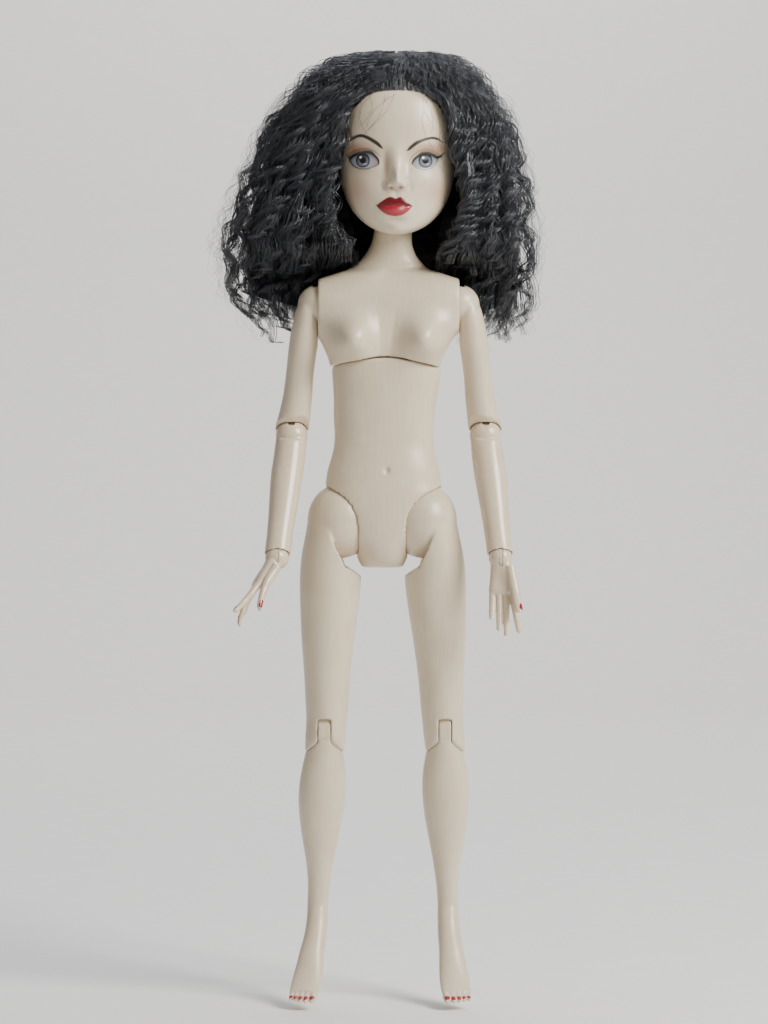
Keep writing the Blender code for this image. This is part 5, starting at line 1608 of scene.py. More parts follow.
@dataclass
class Head:
    """The moulded head: sculpted and painted in front, with a seat for the neck's dome underneath."""

    centre_x: float = 5.6 * MM
    centre_y: float = 4.8 * MM
    half_width: float = 26 * MM
    half_depth: float = 29.5 * MM
    chin_drop: float = 7.8 * MM
    height: float = 73.3 * MM
    neck_radius: float = 8.6 * MM
    peg: float = 1.8 * MM
    peg_reach: float = 21 * MM
    front_grain: float = 0.2 * MM

    # Share of the height, half width, front and back as shares of the half sizes
    SHARES = (
        (0.0, 0.14, 0.86, -0.60),
        (0.02, 0.32, 0.91, -0.38),
        (0.055, 0.49, 0.945, -0.12),
        (0.105, 0.64, 0.965, 0.13),
        (0.16, 0.755, 0.975, 0.36),
        (0.23, 0.85, 0.98, 0.60),
        (0.31, 0.925, 0.985, 0.78),
        (0.42, 0.975, 0.98, 0.92),
        (0.53, 1.0, 0.985, 0.985),
        (0.65, 1.0, 0.99, 1.0),
        (0.775, 0.94, 0.92, 0.94),
        (0.87, 0.79, 0.75, 0.80),
        (0.94, 0.58, 0.50, 0.58),
        (0.985, 0.31, 0.24, 0.30),
        (1.0, 0.12, 0.08, 0.12),
    )
    # The face's soft forms in pixels: column, row, reach across and down, and millimetres forwards
    FORMS = (
        (363.5, 160.5, 17.0, 9.5, -1.25),
        (425.5, 160.5, 17.0, 9.5, -1.25),
        (363.6, 161.0, 10.5, 7.0, 1.05),
        (425.4, 161.0, 10.5, 7.0, 1.05),
        (366.0, 145.0, 15.0, 4.5, 0.22),
        (424.0, 145.0, 15.0, 4.5, 0.22),
        (385.0, 162.0, 4.5, 10.0, -0.7),
        (408.4, 162.0, 4.5, 10.0, -0.6),
        (396.3, 150.0, 8.0, 10.0, 0.7),
        (396.9, 163.0, 6.4, 9.0, 1.2),
        (397.5, 173.0, 5.8, 7.5, 1.7),
        (388.8, 185.4, 3.0, 2.9, 1.1),
        (403.6, 185.2, 3.0, 2.9, 1.1),
        (382.0, 187.0, 3.0, 5.0, -0.4),
        (410.0, 187.0, 3.0, 5.0, -0.4),
        (395.8, 193.6, 1.9, 3.6, -0.22),
        (390.6, 194.0, 1.8, 3.6, 0.14),
        (401.2, 194.0, 1.8, 3.6, 0.14),
        (395.8, 205.5, 17.0, 9.0, 0.9),
        (374.4, 206.0, 4.0, 4.5, -0.3),
        (414.2, 206.4, 4.0, 4.5, -0.3),
        (396.2, 219.6, 10.0, 2.8, -0.65),
        (396.6, 229.0, 9.5, 6.0, 1.15),
        (361.0, 184.0, 13.0, 13.0, 0.55),
        (432.0, 184.0, 13.0, 13.0, 0.55),
    )
    # Shadows round the nostrils: column, row and width in pixels
    LEFT_WING = ((383.6, 181, 0.6), (382.0, 184.6, 1.4), (384.2, 188.2, 1.2), (388, 189.2, 0.8))
    RIGHT_WING = ((406.4, 182, 0.5), (407.6, 185.2, 1.0), (405.6, 188, 0.8))
    NOSE_TIP = (397.5, 181.5)

    def _rings(self) -> list[Ring]:
        """Returns the rings, close together in the face and wider above it."""
        chin = PIVOTS["head_turn"].z - self.chin_drop
        rows = []
        for share, width, front, back in self.SHARES:
            face, nape = self.centre_y - front * self.half_depth, self.centre_y + back * self.half_depth
            middle, depth = (face + nape) / 2, (nape - face) / 2
            rows.append((chin + share * self.height, width * self.half_width, middle, depth))
        drawn = spline(rows, 40)
        level = np.linspace(drawn[0, 0], drawn[-1, 0], 800)
        columns = [np.interp(level, drawn[:, 0], drawn[:, place]) for place in (1, 2, 3)]
        weight = np.exp(-0.5 * (np.arange(-42, 43) / 14.0) ** 2)
        weight /= weight.sum()
        inside = np.clip(np.minimum(level - level[0], level[-1] - level) / (6 * MM), 0, 1)
        eased = [np.convolve(np.pad(column, 42, mode="edge"), weight, mode="valid") for column in columns]
        mixed = [column + (soft - column) * inside for column, soft in zip(columns, eased)]
        fine = np.column_stack([level, *mixed])
        height = [fine[0, 0]]
        while height[-1] < fine[-1, 0]:
            share = (height[-1] - chin) / self.height
            grain = self.front_grain * (1 if 0.20 < share < 0.76 else 1.9)
            height.append(height[-1] + grain)
        height[-1] = fine[-1, 0]
        wide, middle, deep = (np.interp(height, fine[:, 0], fine[:, place]) for place in (1, 2, 3))
        return [Ring(self.centre_x, y, z, w, d, d, 0, 2.25) for z, w, y, d in zip(height, wide, middle, deep)]

    def _shape(self) -> Shape:
        """Returns the bare head, its points closer together in front."""
        rings = self._rings()
        front = np.arcsin(np.linspace(-0.93, 0.93, 214)) - pi / 2
        rest = np.linspace(front[-1], front[0] + 2 * pi, 64)[1:-1]
        angle = np.concatenate([front, rest])[None]
        rows = np.array(rings)[:, None, :]
        x, y, z, width, depth, _, _, power = (rows[..., place] for place in range(8))
        across = width * np.abs(np.cos(angle)) ** (2 / power) * np.sign(np.cos(angle))
        along = depth * np.abs(np.sin(angle)) ** (2 / power) * np.sign(np.sin(angle))
        points = np.stack([x + across, y + along, np.broadcast_to(z, across.shape)], axis=-1)
        return Shape(points.reshape(-1, 3), tube_faces(len(rings), angle.shape[1]))

    def _front(self, points: np.ndarray) -> np.ndarray:
        """Returns how much each point belongs to the face, fading round to the sides."""
        return np.clip((self.centre_y - 6 * MM - points[:, 1]) / (6 * MM), 0, 1)

    def _sculpt(self, shape: Shape) -> None:
        """Pushes the face's forms out of the bare head, seen in the photograph's frame."""
        canvas = Canvas(shape.points, self._front(shape.points))
        push = np.zeros(len(shape.points))
        for x, y, wide, tall, forward in self.FORMS:
            push += canvas.spot(x, y, wide, tall) * forward
        tip_x, tip_y = self.NOSE_TIP
        tip = np.exp(-(((canvas.x - tip_x) / 5.2) ** 2)) * canvas.front
        fade = np.where(canvas.y < tip_y, 8.5, 4.6)
        push += 3.0 * tip * np.exp(-(((canvas.y - tip_y) / fade) ** 2))
        push -= 0.55 * canvas.spot(391.2, 188.2, 2.1, 1.3) + 0.55 * canvas.spot(400.6, 187.9, 2.1, 1.3)
        for lip, rise in ((self.upper_lip(), 0.42), (self.lower_lip(), 0.75)):
            depth = np.clip(canvas.depth_in(lip), 0, None)
            push += rise * (1 - np.exp(-depth / 2.4)) * canvas.front
        for eye in (VIEWER_LEFT_EYE, VIEWER_RIGHT_EYE):
            inside = np.clip(0.5 + canvas.depth_in(eye.outline()) / 1.2, 0, 1)
            push -= 0.22 * inside * canvas.front
            push -= 0.16 * canvas.stroke(eye.crease, 1.0)
        shape.points[:, 1] -= push * MM

    @staticmethod
    def upper_lip() -> np.ndarray:
        """Returns the upper lip's closed outline."""
        return np.vstack([spline(UPPER_LIP), spline(MOUTH_LINE)[::-1]])

    @staticmethod
    def lower_lip() -> np.ndarray:
        """Returns the lower lip's closed outline."""
        return np.vstack([spline(MOUTH_LINE), spline(LOWER_LIP)[::-1]])

    def _paint(self, mesh: bpy.types.Mesh) -> None:
        """Paints the eyes, brows, lips and cheeks on the finished mesh, with painted shade round the nose and
        under the lower lip and a painted highlight on the nose's tip.
        """
        points = np.empty(len(mesh.vertices) * 3)
        mesh.vertices.foreach_get("co", points)
        points = points.reshape(-1, 3)
        canvas = Canvas(points, (self._front(points) > 0.2).astype(float))
        paint = Paint(len(points))
        paint.lay(canvas.spot(358, 190, 12, 10), "c4796a", 0.36)
        paint.lay(canvas.spot(437, 191, 12, 11), "c4796a", 0.36)
        # painted shade down both sides of the nose, stronger on the doll's right, and round the nostrils
        paint.lay(canvas.spot(386.6, 170, 3.6, 17), "7d5638", 0.6)
        paint.lay(canvas.spot(407, 168, 3.5, 14), "ab8464", 0.22)
        paint.lay(canvas.stroke(self.LEFT_WING, 1.6), "80543a", 0.5)
        paint.lay(canvas.stroke(self.RIGHT_WING, 1.4), "93674b", 0.4)
        # painted shade under the nose, and a painted highlight on its tip
        paint.lay(canvas.spot(396.4, 190, 7.5, 2.6), "94624a", 0.55)
        paint.lay(canvas.spot(397.9, 180.6, 2.0, 2.4), "fbf3e8", 0.6, 0.6)
        # painted shade in the hollow under the lower lip
        paint.lay(canvas.spot(396.6, 219.4, 9, 2.4), "a87a60", 0.35)
        for eye in (VIEWER_LEFT_EYE, VIEWER_RIGHT_EYE):
            eye.paint(canvas, paint)
        self._paint_lips(canvas, paint)
        paint.lay(canvas.spot(390.9, 187.7, 2.3, 1.2), "5b3022", 0.85)
        paint.lay(canvas.spot(400.7, 187.4, 2.3, 1.1), "6a3a2a", 0.75)
        paint.store(mesh)

    def _paint_lips(self, canvas: Canvas, paint: Paint) -> None:
        """Paints the lips, the upper one darker, and the line between them, with painted shade at one corner
        and painted highlights on the lower lip.
        """
        paint.lay(canvas.patch(self.upper_lip(), 0.5), "6a0f18", 1.0, 0.5)
        paint.lay(canvas.patch(self.lower_lip(), 0.5), "a01f2d", 1.0, 0.6)
        lips = np.maximum(canvas.patch(self.upper_lip()), canvas.patch(self.lower_lip()))
        # painted shade at the lips' corner on the doll's right, a painted band of light across the lower lip
        # and a painted highlight on it
        paint.lay(canvas.spot(379, 206, 6, 6) * lips, "6d0f18", 0.6)
        paint.lay(canvas.spot(398, 210.5, 8, 2.6) * lips, "c44553", 0.5)
        paint.lay(canvas.spot(401.6, 208.4, 2.6, 1.1) * lips, "efc0bf", 0.75)
        paint.lay(canvas.stroke([(x, y, 0.9) for x, y in MOUTH_LINE], 0.5), "4a070d", 0.95, 0.8)

    def build(self) -> bpy.types.Object:
        """Builds the head and paints it.

        Returns:
            The finished object.
        """
        neck = PIVOTS["head_turn"]
        shape = self._shape()
        self._sculpt(shape)
        head = Moulding("head_shell", shape)
        head.cut(ball(neck, self.neck_radius + TURNING_GAP))
        depth = self.neck_radius * 1.7
        start = self.neck_radius + 2 * GAP
        head.cut(rod(neck, neck - UP * depth, start, start + depth * tan(radians(19))))
        cut_bore(head, neck, UP, self.peg_reach, self.peg, 24)
        head.bake()
        head.item.data.shade_smooth()
        self._paint(head.item.data)
        return head.item

# Hair


FACE_GAP = 0.8 * MM
Random = np.random.Generator


class Strands:
    """A bundle of fibres as polylines, each point with its own radius, ready to be swept into tubes."""

    def __init__(self) -> None:
        """Starts empty."""
        self.lines: list[np.ndarray] = []
        self.sizes: list[np.ndarray] = []

    def add(self, line: np.ndarray, size: np.ndarray) -> None:
        """Adds one fibre's points and radii."""
        self.lines.append(line)
        self.sizes.append(size)

    def object(self, name: str) -> bpy.types.Object:
        """Links the bundle as a mesh of edges with a radius on each point.

        Args:
            name: the object's name.

        Returns:
            The linked object.
        """
        mesh = bpy.data.meshes.new(name)
        edges, start = [], 0
        for line in self.lines:
            edges += [(start + step, start + step + 1) for step in range(len(line) - 1)]
            start += len(line)
        mesh.from_pydata(np.vstack(self.lines).tolist(), edges, [])
        add_values(mesh, "size", np.concatenate(self.sizes))
        return linked(name, mesh)


def sweep_tree() -> bpy.types.NodeTree:
    """Builds the Geometry Nodes tree that sweeps a small round along each line of edges.

    Returns:
        The node group, with the inputs Sides and Finish.
    """
    tree = bpy.data.node_groups.new("sweep_fibres", "GeometryNodeTree")
    face = tree.interface
    face.new_socket("Geometry", in_out="INPUT", socket_type="NodeSocketGeometry")
    face.new_socket("Sides", in_out="INPUT", socket_type="NodeSocketInt")
    face.new_socket("Finish", in_out="INPUT", socket_type="NodeSocketMaterial")
    face.new_socket("Geometry", in_out="OUTPUT", socket_type="NodeSocketGeometry")
    given = add_node(tree, "NodeGroupInput").outputs
    size = add_node(tree, "GeometryNodeInputNamedAttribute", {"Name": "size"}, data_type="FLOAT")
    lines = add_node(tree, "GeometryNodeMeshToCurve", {"Mesh": given["Geometry"]})
    rounds = add_node(tree, "GeometryNodeCurvePrimitiveCircle", {"Resolution": given["Sides"], "Radius": 1.0})
    route = {"Curve": lines.outputs["Curve"], "Profile Curve": rounds.outputs["Curve"]}
    route |= {"Scale": size.outputs["Attribute"], "Fill Caps": True}
    swept = add_node(tree, "GeometryNodeCurveToMesh", route)
    real = add_node(tree, "GeometryNodeRealizeInstances", {"Geometry": swept.outputs["Mesh"]})
    given_finish = {"Geometry": real.outputs["Geometry"], "Material": given["Finish"]}
    dressed = add_node(tree, "GeometryNodeSetMaterial", given_finish)
    add_node(tree, "NodeGroupOutput", {"Geometry": dressed.outputs["Geometry"]})
    return tree


def sweep(item: bpy.types.Object, tree: bpy.types.NodeTree, sides: int, finish: bpy.types.Material) -> None:
    """Turns a bundle's edges into closed tubes by Geometry Nodes and keeps the result as a plain mesh.

    Args:
        item: the bundle.
        tree: the sweeping node group.
        sides: how many sides a fibre has.
        finish: its material.
    """
    modifier = item.modifiers.new("sweep", "NODES")
    modifier.node_group = tree
    inputs = (socket for socket in tree.interface.items_tree if socket.in_out == "INPUT")
    sockets = {socket.name: socket.identifier for socket in inputs}
    modifier[sockets["Sides"]] = sides
    modifier[sockets["Finish"]] = finish
    graph = bpy.context.evaluated_depsgraph_get()
    mesh = bpy.data.meshes.new_from_object(item.evaluated_get(graph))
    item.modifiers.clear()
    item.data = mesh
    mesh.shade_smooth()


@dataclass
class Wig:
    """The rooted curly hair: a combed crown, two side masses and a back, all of crimped locks."""

    centre_x: float = 5.6 * MM
    centre_y: float = 6 * MM
    top: float = 165 * MM
    tip: float = 41 * MM
    seed: int = 16
    fibre: float = 0.135 * MM
    points: int = 49
    locks: int = 48
    back_locks: int = 30
    in_lock: int = 18
    framing_share: float = 0.45
    loose_to_lock: float = 2.2
    side_edge: float = 0.60
    back_edge: float = 2.25
    per_piece: int = 460
    crown_points: int = 37
    combed_fibres: int = 440
    curled_fibres: int = 300
    chin: float = 84.2 * MM

    # The skull: a share of the head's height, then its half width and depth there in millimetres
    SKULL = ((0.42, 25.4, 28.9), (0.53, 26, 29.1), (0.65, 26, 29.2), (0.775, 24.4, 27.1), (0.87, 20.5, 22.1))
    # The scalp and neck: a height, and how far they keep the hair from the wig's middle, in millimetres
    SCALP = ((45, 19), (70, 17), (88, 17), (105, 22.5), (130, 26), (150, 17), (158, 5), (164, 0.3))
    # Over the shoulders: where the hair would be in depth, and where it is moved back to, in millimetres
    BEHIND = ((-26, 10), (9.5, 14), (41, 41))
    # The hairline: its half width, its height and its drop at the temples in millimetres, and its squareness
    HAIRLINE = (21.3, 143.9, 12.8, 3.6)

    # Down the wig in photograph rows: the row, then the left and right edge of the hair in columns
    EDGES = (
        (49, 391, 404), (50, 376, 420), (51.5, 362, 436), (54, 346, 452), (60, 324, 468),
        (76, 298, 488), (99, 281, 503), (130, 264, 515),
        (160, 252, 523), (190, 240, 528), (220, 229, 532), (250, 222, 533), (290, 228, 533), (310, 238, 531),
        (330, 252, 528), (345, 266, 522),
    )
    # The same rows: how far the hair reaches forwards and back of the middle, in millimetres
    DEPTHS = (
        (49, 2, 2), (50, 6, 6), (51.5, 10, 11), (54, 14.5, 16), (60, 20, 22), (76, 26.5, 29),
        (99, 29, 33.5), (130, 26, 35),
        (160, 24, 36), (190, 23, 37), (220, 22, 37), (250, 20, 37), (290, 18, 36), (310, 18, 34.5),
        (330, 18, 31), (345, 18, 26),
    )
    # The face side's edge: the row, and how far out from the face's middle, in columns
    OPENING = (
        (90, 0), (93, 14), (98, 27), (108, 40), (122, 46), (150, 49), (165, 53), (180, 59), (200, 61),
        (235, 54), (262, 32), (345, 24),
    )

    # Stray hairs over the forehead: where each leaves the hairline, then millimetres across, down and bowed
    STRAYS = (
        (-0.25, -11.0, 20.0, 3.5),
        (0.05, -14.0, 15.0, -3.0),
        (0.45, 5.0, 17.0, 2.5),
        (0.62, 2.0, 22.0, -3.5),
        (-0.7, 3.0, 16.0, -2.5),
        (0.78, 1.5, 20.0, 2.0),
        (-0.45, -6.0, 9.0, -2.0),
        (-0.55, -4.0, 13.0, 3.0),
        (-0.15, -9.0, 9.0, 2.0),
        (-0.05, -12.0, 17.0, 2.5),
        (0.55, 3.0, 12.0, -2.0),
        (0.7, 0.5, 26.0, 3.0),
        (-0.8, 1.0, 24.0, -3.0),
    )

    def _level(self, z: np.ndarray) -> dict[str, np.ndarray]:
        """Returns the hair's reach at some heights.

        Args:
            z: the heights.

        Returns:
            How far it reaches left, right, forwards and back of the wig's middle, and the face's opening.
        """
        row = PHOTO_HEIGHT / 2 - (z - CAMERA_Z) / PIXEL
        tables = (self.EDGES, self.DEPTHS, self.OPENING)
        edges, depths, opening = (np.array(rows, dtype=float) for rows in tables)
        middle = self.centre_x / PIXEL + PHOTO_WIDTH / 2
        return {
            "right": (middle - np.interp(row, edges[:, 0], edges[:, 1])) * PIXEL,
            "left": (np.interp(row, edges[:, 0], edges[:, 2]) - middle) * PIXEL,
            "front": np.interp(row, depths[:, 0], depths[:, 1]) * MM,
            "back": np.interp(row, depths[:, 0], depths[:, 2]) * MM,
            "opening": np.interp(row, opening[:, 0], opening[:, 1]) * PIXEL,
        }

    def _inner(self, z: np.ndarray) -> np.ndarray:
        """Returns how far the scalp or the neck keeps the hair from the wig's middle, by height."""
        return np.interp(z, *(np.array(self.SCALP).T * MM))

    def _place(self, turn: np.ndarray, depth: np.ndarray, z: np.ndarray, gap: float = FACE_GAP) -> np.ndarray:
        """Returns points of the hair's mass.

        Args:
            turn: the angle round from the front, negative to the doll's right.
            depth: from 0 at the scalp to 1 at the outside.
            z: the heights.
            gap: how far the hair keeps from the face's opening.

        Returns:
            The points, one row each.
        """
        level = self._level(z)
        side = np.where(turn < 0, level["right"], level["left"])
        deep = np.where(np.cos(turn) > 0, level["front"], level["back"])
        inner = self._inner(z)
        share = np.clip(depth, 0, 1.12)
        wide = inner + (np.maximum(side, inner + MM) - inner) * share
        away = np.minimum(inner, deep) + (deep - np.minimum(inner, deep)) * share
        across = np.abs(np.sin(turn)) ** 0.8 * np.sign(np.sin(turn)) * wide
        along = -np.abs(np.cos(turn)) ** 0.8 * np.sign(np.cos(turn)) * away
        clear = level["opening"] + gap
        hidden = (along < 0) & (np.abs(across) < clear) & (z < 150 * MM)
        across = np.where(hidden, np.where(turn < 0, -clear, clear) * (1 + 0.1 * depth), across)
        y = self.centre_y + along
        behind = np.interp(y, *(np.array(self.BEHIND).T * MM))
        share = np.clip((80 * MM - z) / (13 * MM), 0, 1)
        share = share * share * (3 - 2 * share)
        return np.stack([self.centre_x + across, y + (behind - y) * share, z], axis=-1)

    def _outward(self, line: np.ndarray) -> np.ndarray:
        """Returns the level way from the wig's middle out to each point."""
        out = line - np.array((self.centre_x, self.centre_y, 0))
        out[:, 2] = 0
        return out

    def _wave(
        self, line: np.ndarray, length: float, amount: np.ndarray, phase: float, roll: float
    ) -> np.ndarray:
        """Crimps a line: it swings sideways and, a quarter wave later, in and out.

        Args:
            line: the points.
            length: the wave's length.
            amount: the swing at each point.
            phase: where the wave starts.
            roll: how round the curl is, from 0, flat.

        Returns:
            The crimped points.
        """
        step = np.linalg.norm(np.diff(line, axis=0), axis=1)
        run = np.concatenate([[0], np.cumsum(step)])
        ahead, out = unit(np.gradient(line, axis=0)), self._outward(line)
        out = unit(out - ahead * (out * ahead).sum(1, keepdims=True))
        side = np.cross(ahead, out)
        angle = 2 * pi * run / length + phase
        swing = np.sin(angle)[:, None] * side + roll * np.cos(angle)[:, None] * out
        return line + swing * amount[:, None]

    def _clump(
        self, random: Random, turn: float, depth: float, start: float, end: float, gap: float = FACE_GAP
    ) -> np.ndarray:
        """Returns the middle line of one lock.

        Args:
            random: the seeded generator.
            turn: the lock's angle round the head.
            depth: how far out it hangs.
            start: the height where it leaves the scalp.
            end: the height of its tip.
            gap: how far it keeps from the face's opening.

        Returns:
            The points.
        """
        share = np.linspace(0, 1, self.points)
        z = start + (end - start) * share**1.05
        drift = random.normal(0, 0.10) * share + 0.05 * np.sin(share * 5 + random.uniform(0, 6))
        depths = depth * np.clip(share * 5, 0.25, 1) ** 0.6
        line = self._place(turn + drift, depths, z, gap)
        grow = np.clip(share * 2.6, 0.15, 1)
        phase = 2.2 * turn + random.normal(0, 0.9)
        line = self._wave(line, random.uniform(19, 30) * MM, random.uniform(2.0, 3.6) * MM * grow, phase, 0.7)
        curl = random.uniform(0.7, 1.9) * MM * grow
        return self._wave(line, random.uniform(11, 16) * MM, curl, random.uniform(0, 6), 0.8)

    def _fibres(self, random: Random, lock: np.ndarray, count: int, spread: float) -> list[np.ndarray]:
        """Spreads fibres round a lock's middle line.

        Args:
            random: the seeded generator.
            lock: the middle line.
            count: how many fibres.
            spread: the lock's radius.

        Returns:
            The fibres' points.
        """
        share = np.linspace(0, 1, len(lock))
        out = unit(self._outward(lock))
        across = np.stack([-out[:, 1], out[:, 0], 0 * share], axis=-1)
        swing, length = random.uniform(0, 2 * pi), random.uniform(9, 13) * MM
        made = []
        for _ in range(count):
            turn, reach = random.uniform(0, 2 * pi), spread * sqrt(random.uniform(0.02, 1))
            twist = turn + share * random.normal(0, 0.5)
            open_out = 0.7 + 0.3 * np.sin(pi * share) + 0.25 * share * random.normal(0, 1)
            offset = across * np.cos(twist)[:, None] + 0.7 * out * np.sin(twist)[:, None]
            line = lock + offset * reach * open_out[:, None]
            crimp = random.uniform(0.15, 0.5) * MM * np.clip(share * 4, 0, 1)
            made.append(self._wave(line, length, crimp, swing + random.normal(0, 0.7), 1.0))
        return made

    def _size(self, count: int, factor: float) -> np.ndarray:
        """Returns a fibre's radius along it, finer at both ends."""
        share = np.linspace(0, 1, count)
        return self.fibre * factor * np.clip(1.25 - share**6, 0.3, 1) * np.clip(share * 14 + 0.5, 0, 1)

    def _mass(
        self, name: str, low: float, high: float, top: float, bottom: float, depth: float, ragged: float = 0.0
    ) -> bpy.types.Object:
        """Builds the dark mass inside the locks, ribbed like them.

        Args:
            name: the object's name.
            low: the turn where it starts.
            high: the turn where it ends.
            top: its upper height.
            bottom: its lower height.
            depth: how far out it reaches, as a share of the hair's own depth.
            ragged: how far its lower edge runs up and down.

        Returns:
            The closed object.
        """
        rows, sides = 80, 72
        turn, z = np.meshgrid(np.linspace(low, high, sides), np.linspace(top, bottom, rows))
        z = z + (top - z) / (top - bottom) * ragged * (np.sin(turn * 11) + np.sin(turn * 19 + 1))
        if high - low < pi and abs(low + high) < 5:
            shift = np.clip((128 * MM - z) / (16 * MM), 0, 1)
            turn = np.sign(turn) * (pi - (pi - np.abs(turn)) * (1 - 0.09 * shift))
        lock = np.sin(turn * 17 + 1.6 * np.sin(z / (4.1 * MM) + 2 * turn))
        fine = np.sin(turn * 43 + 2.5 * np.sin(z / (3 * MM)))
        rib = 0.09 * np.abs(lock) ** 0.7 * np.sign(lock) + 0.03 * fine
        rim = np.clip((z - z[-1]) / (6 * MM), 0, 1) ** 0.5
        if high - low > 6:
            rim = rim * np.clip((top - z) / (1.6 * MM), 0, 1) ** 0.5
        outer = self._place(turn.ravel(), (0.05 + (depth + rib) * rim).ravel(), z.ravel())
        inner = self._place(turn.ravel(), np.full(turn.size, 0.03), z.ravel())
        made = Shape(np.vstack([outer, inner]), plate_faces(rows, sides)).object(name)
        made.data.shade_smooth()
        return made

    def _lock(self, random: Random, low: float, high: float) -> np.ndarray:
        """Returns the middle line of a lock between two turns; some of the side locks frame the face."""
        turn, depth = random.uniform(low, high), random.uniform(0.42, 1.0) ** 0.5
        gap = FACE_GAP
        if low < self.back_edge and random.uniform() < self.framing_share:
            turn = (1 if low > 0 else -1) * random.uniform(0.26, 0.95)
            depth = random.uniform(0.45, 1.0)
            gap = random.uniform(0.2, 5) * MM
        start = self.top - random.uniform(0.5, 20) * MM
        end = self.tip + random.uniform(-1, 14) * MM
        return self._clump(random, turn, depth, start, end, gap)

    def _loose_fibre(self, random: Random, low: float, high: float) -> np.ndarray:
        """Returns a single fibre on the outside, between two turns."""
        turn, end = random.uniform(low, high), self.tip + random.uniform(-3, 60) * MM
        return self._clump(random, turn, random.uniform(0.98, 1.12), self.top - 8 * MM, end)

    def build(self, finish: bpy.types.Material, mass: bpy.types.Material) -> None:
        """Builds every bundle, gives it its material and hides the CAD nodes it stands for; the crown's
        pieces ride on the head.

        Args:
            finish: the fibres' material.
            mass: the inner mass's material, darker than the fibres' as painted shade inside the hair.
        """
        random = np.random.default_rng(self.seed)
        tree = sweep_tree()
        fewer = 1.0
        regions = (
            ("hair_right", -self.back_edge, -self.side_edge, self.locks),
            ("hair_left", self.side_edge, self.back_edge, self.locks),
            ("hair_back", self.back_edge, 2 * pi - self.back_edge, self.back_locks),
        )
        for node, low, high, locks in regions:
            rows = (self.top - 4 * MM, self.tip + 15 * MM)
            inner = self._mass(f"{node}_mass", low - 0.08, high + 0.08, *rows, 0.68, 2.5 * MM)
            self._attach(inner, mass)
            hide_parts(node)
            fibres: list[np.ndarray] = []
            for _ in range(int(locks * fewer)):
                lock = self._lock(random, low, high)
                fibres += self._fibres(random, lock, self.in_lock, random.uniform(2.2, 4.4) * MM)
            full = len(fibres)
            loose = int(self.loose_to_lock * locks * fewer)
            fibres += [self._loose_fibre(random, low, high) for _ in range(loose)]
            for part, first in enumerate(range(0, len(fibres), self.per_piece)):
                bundle = Strands()
                for place, line in enumerate(fibres[first : first + self.per_piece], first):
                    thick = random.uniform(0.7, 1.3) if place < full else random.uniform(0.3, 0.5)
                    bundle.add(line, self._size(len(line), thick))
                locks_item = bundle.object(f"{node}_locks_{part}")
                sweep(locks_item, tree, 3, finish)
                self._attach(locks_item, finish)
        self._add_crown(random, tree, finish, mass, fewer)

    def _brow(self, x: np.ndarray, z: np.ndarray) -> np.ndarray:
        """Returns the forehead's Y at places across and up the head, from the bare head's own form."""
        shares, widths, depths = np.array(self.SKULL).T
        share = (z - self.chin) / Head.height
        wide, deep = (np.interp(share, shares, sizes) * MM for sizes in (widths, depths))
        inside = np.clip(1 - (np.abs(x - self.centre_x) / wide) ** 2.25, 0.02, 1)
        return Head.centre_y - deep * inside ** (1 / 2.25)

    def _hairline(self, side: float) -> np.ndarray:
        """Returns a point of the hairline's arch over the forehead, from -1 at the right temple to 1."""
        half_width, height, drop, power = self.HAIRLINE
        x, z = self.centre_x + half_width * MM * side, (height - drop * abs(side) ** power) * MM
        return np.array((x, self._brow(x, z), z))

    def _add_crown(
        self,
        random: Random,
        tree: bpy.types.NodeTree,
        finish: bpy.types.Material,
        mass: bpy.types.Material,
        fewer: float,
    ) -> None:
        """Builds the combed crown and a few stray hairs: fibres from the hairline back over the top.

        Args:
            random: the seeded generator.
            tree: the sweeping node group.
            finish: the fibres' material.
            mass: the cap's material.
            fewer: the share of the fibres that is built.
        """
        cap = self._mass("hair_crown_cap", -pi, pi, self.top - 1.2 * MM, 143.0 * MM, 0.74)
        dress(cap, mass, "head", Slot.HAIR, "hair_crown")
        bundle, upper = Strands(), Strands()
        share = np.linspace(0, 1, self.crown_points)[:, None]
        for _ in range(int(self.combed_fibres * fewer)):
            side = random.uniform(-1, 1)
            start = self._hairline(side) + np.array((0, -0.3, random.uniform(-0.2, 1.0))) * MM
            lift = random.uniform(0, 1)
            over = start + np.array((side * 5, 5 + 4 * lift, 19 + 3 * lift - 7 * abs(side))) * MM
            turn = side * random.uniform(0.9, 2.6) + random.normal(0, 0.12)
            depth = np.array([0.88 + 0.12 * lift])
            end = self._place(np.array([turn]), depth, np.array([random.uniform(132, 152) * MM]))[0]
            high = self._place(np.array([turn * 0.75]), depth, np.array([161 * MM]))[0]
            line = (
                (1 - share) ** 3 * start
                + 3 * (1 - share) ** 2 * share * over
                + 3 * (1 - share) * share**2 * high
                + share**3 * end
            )
            swing = 1.1 * MM * np.clip(share[:, 0] * 1.8 - 0.45, 0, 1)
            line = self._wave(line, random.uniform(9, 13) * MM, swing, 3 * side + random.normal(0, 0.4), 0.7)
            bundle.add(line, self._size(len(line), random.uniform(0.75, 1.25)))
        for _ in range(int(self.curled_fibres * fewer)):
            turn, high = random.uniform(-pi, pi), self.top - random.uniform(0, 2.5) * MM
            z = high - (high - random.uniform(134, 152) * MM) * share[:, 0] ** 1.7
            turns = turn * (1 + 0.1 * share[:, 0]) + np.sign(turn) * 0.12 * share[:, 0]
            depth = random.uniform(0.8, 1.03) * np.clip(share[:, 0] * 4, 0.03, 1) ** 0.5
            line = self._place(turns, depth, z)
            swing = 1.7 * MM * np.clip(share[:, 0] * 2 - 0.2, 0, 1)
            line = self._wave(line, random.uniform(10, 14) * MM, swing, 5 * turn + random.normal(0, 0.4), 0.8)
            upper.add(line, self._size(len(line), random.uniform(0.6, 1.2)))
        for side, reach, drop, bow in self.STRAYS:
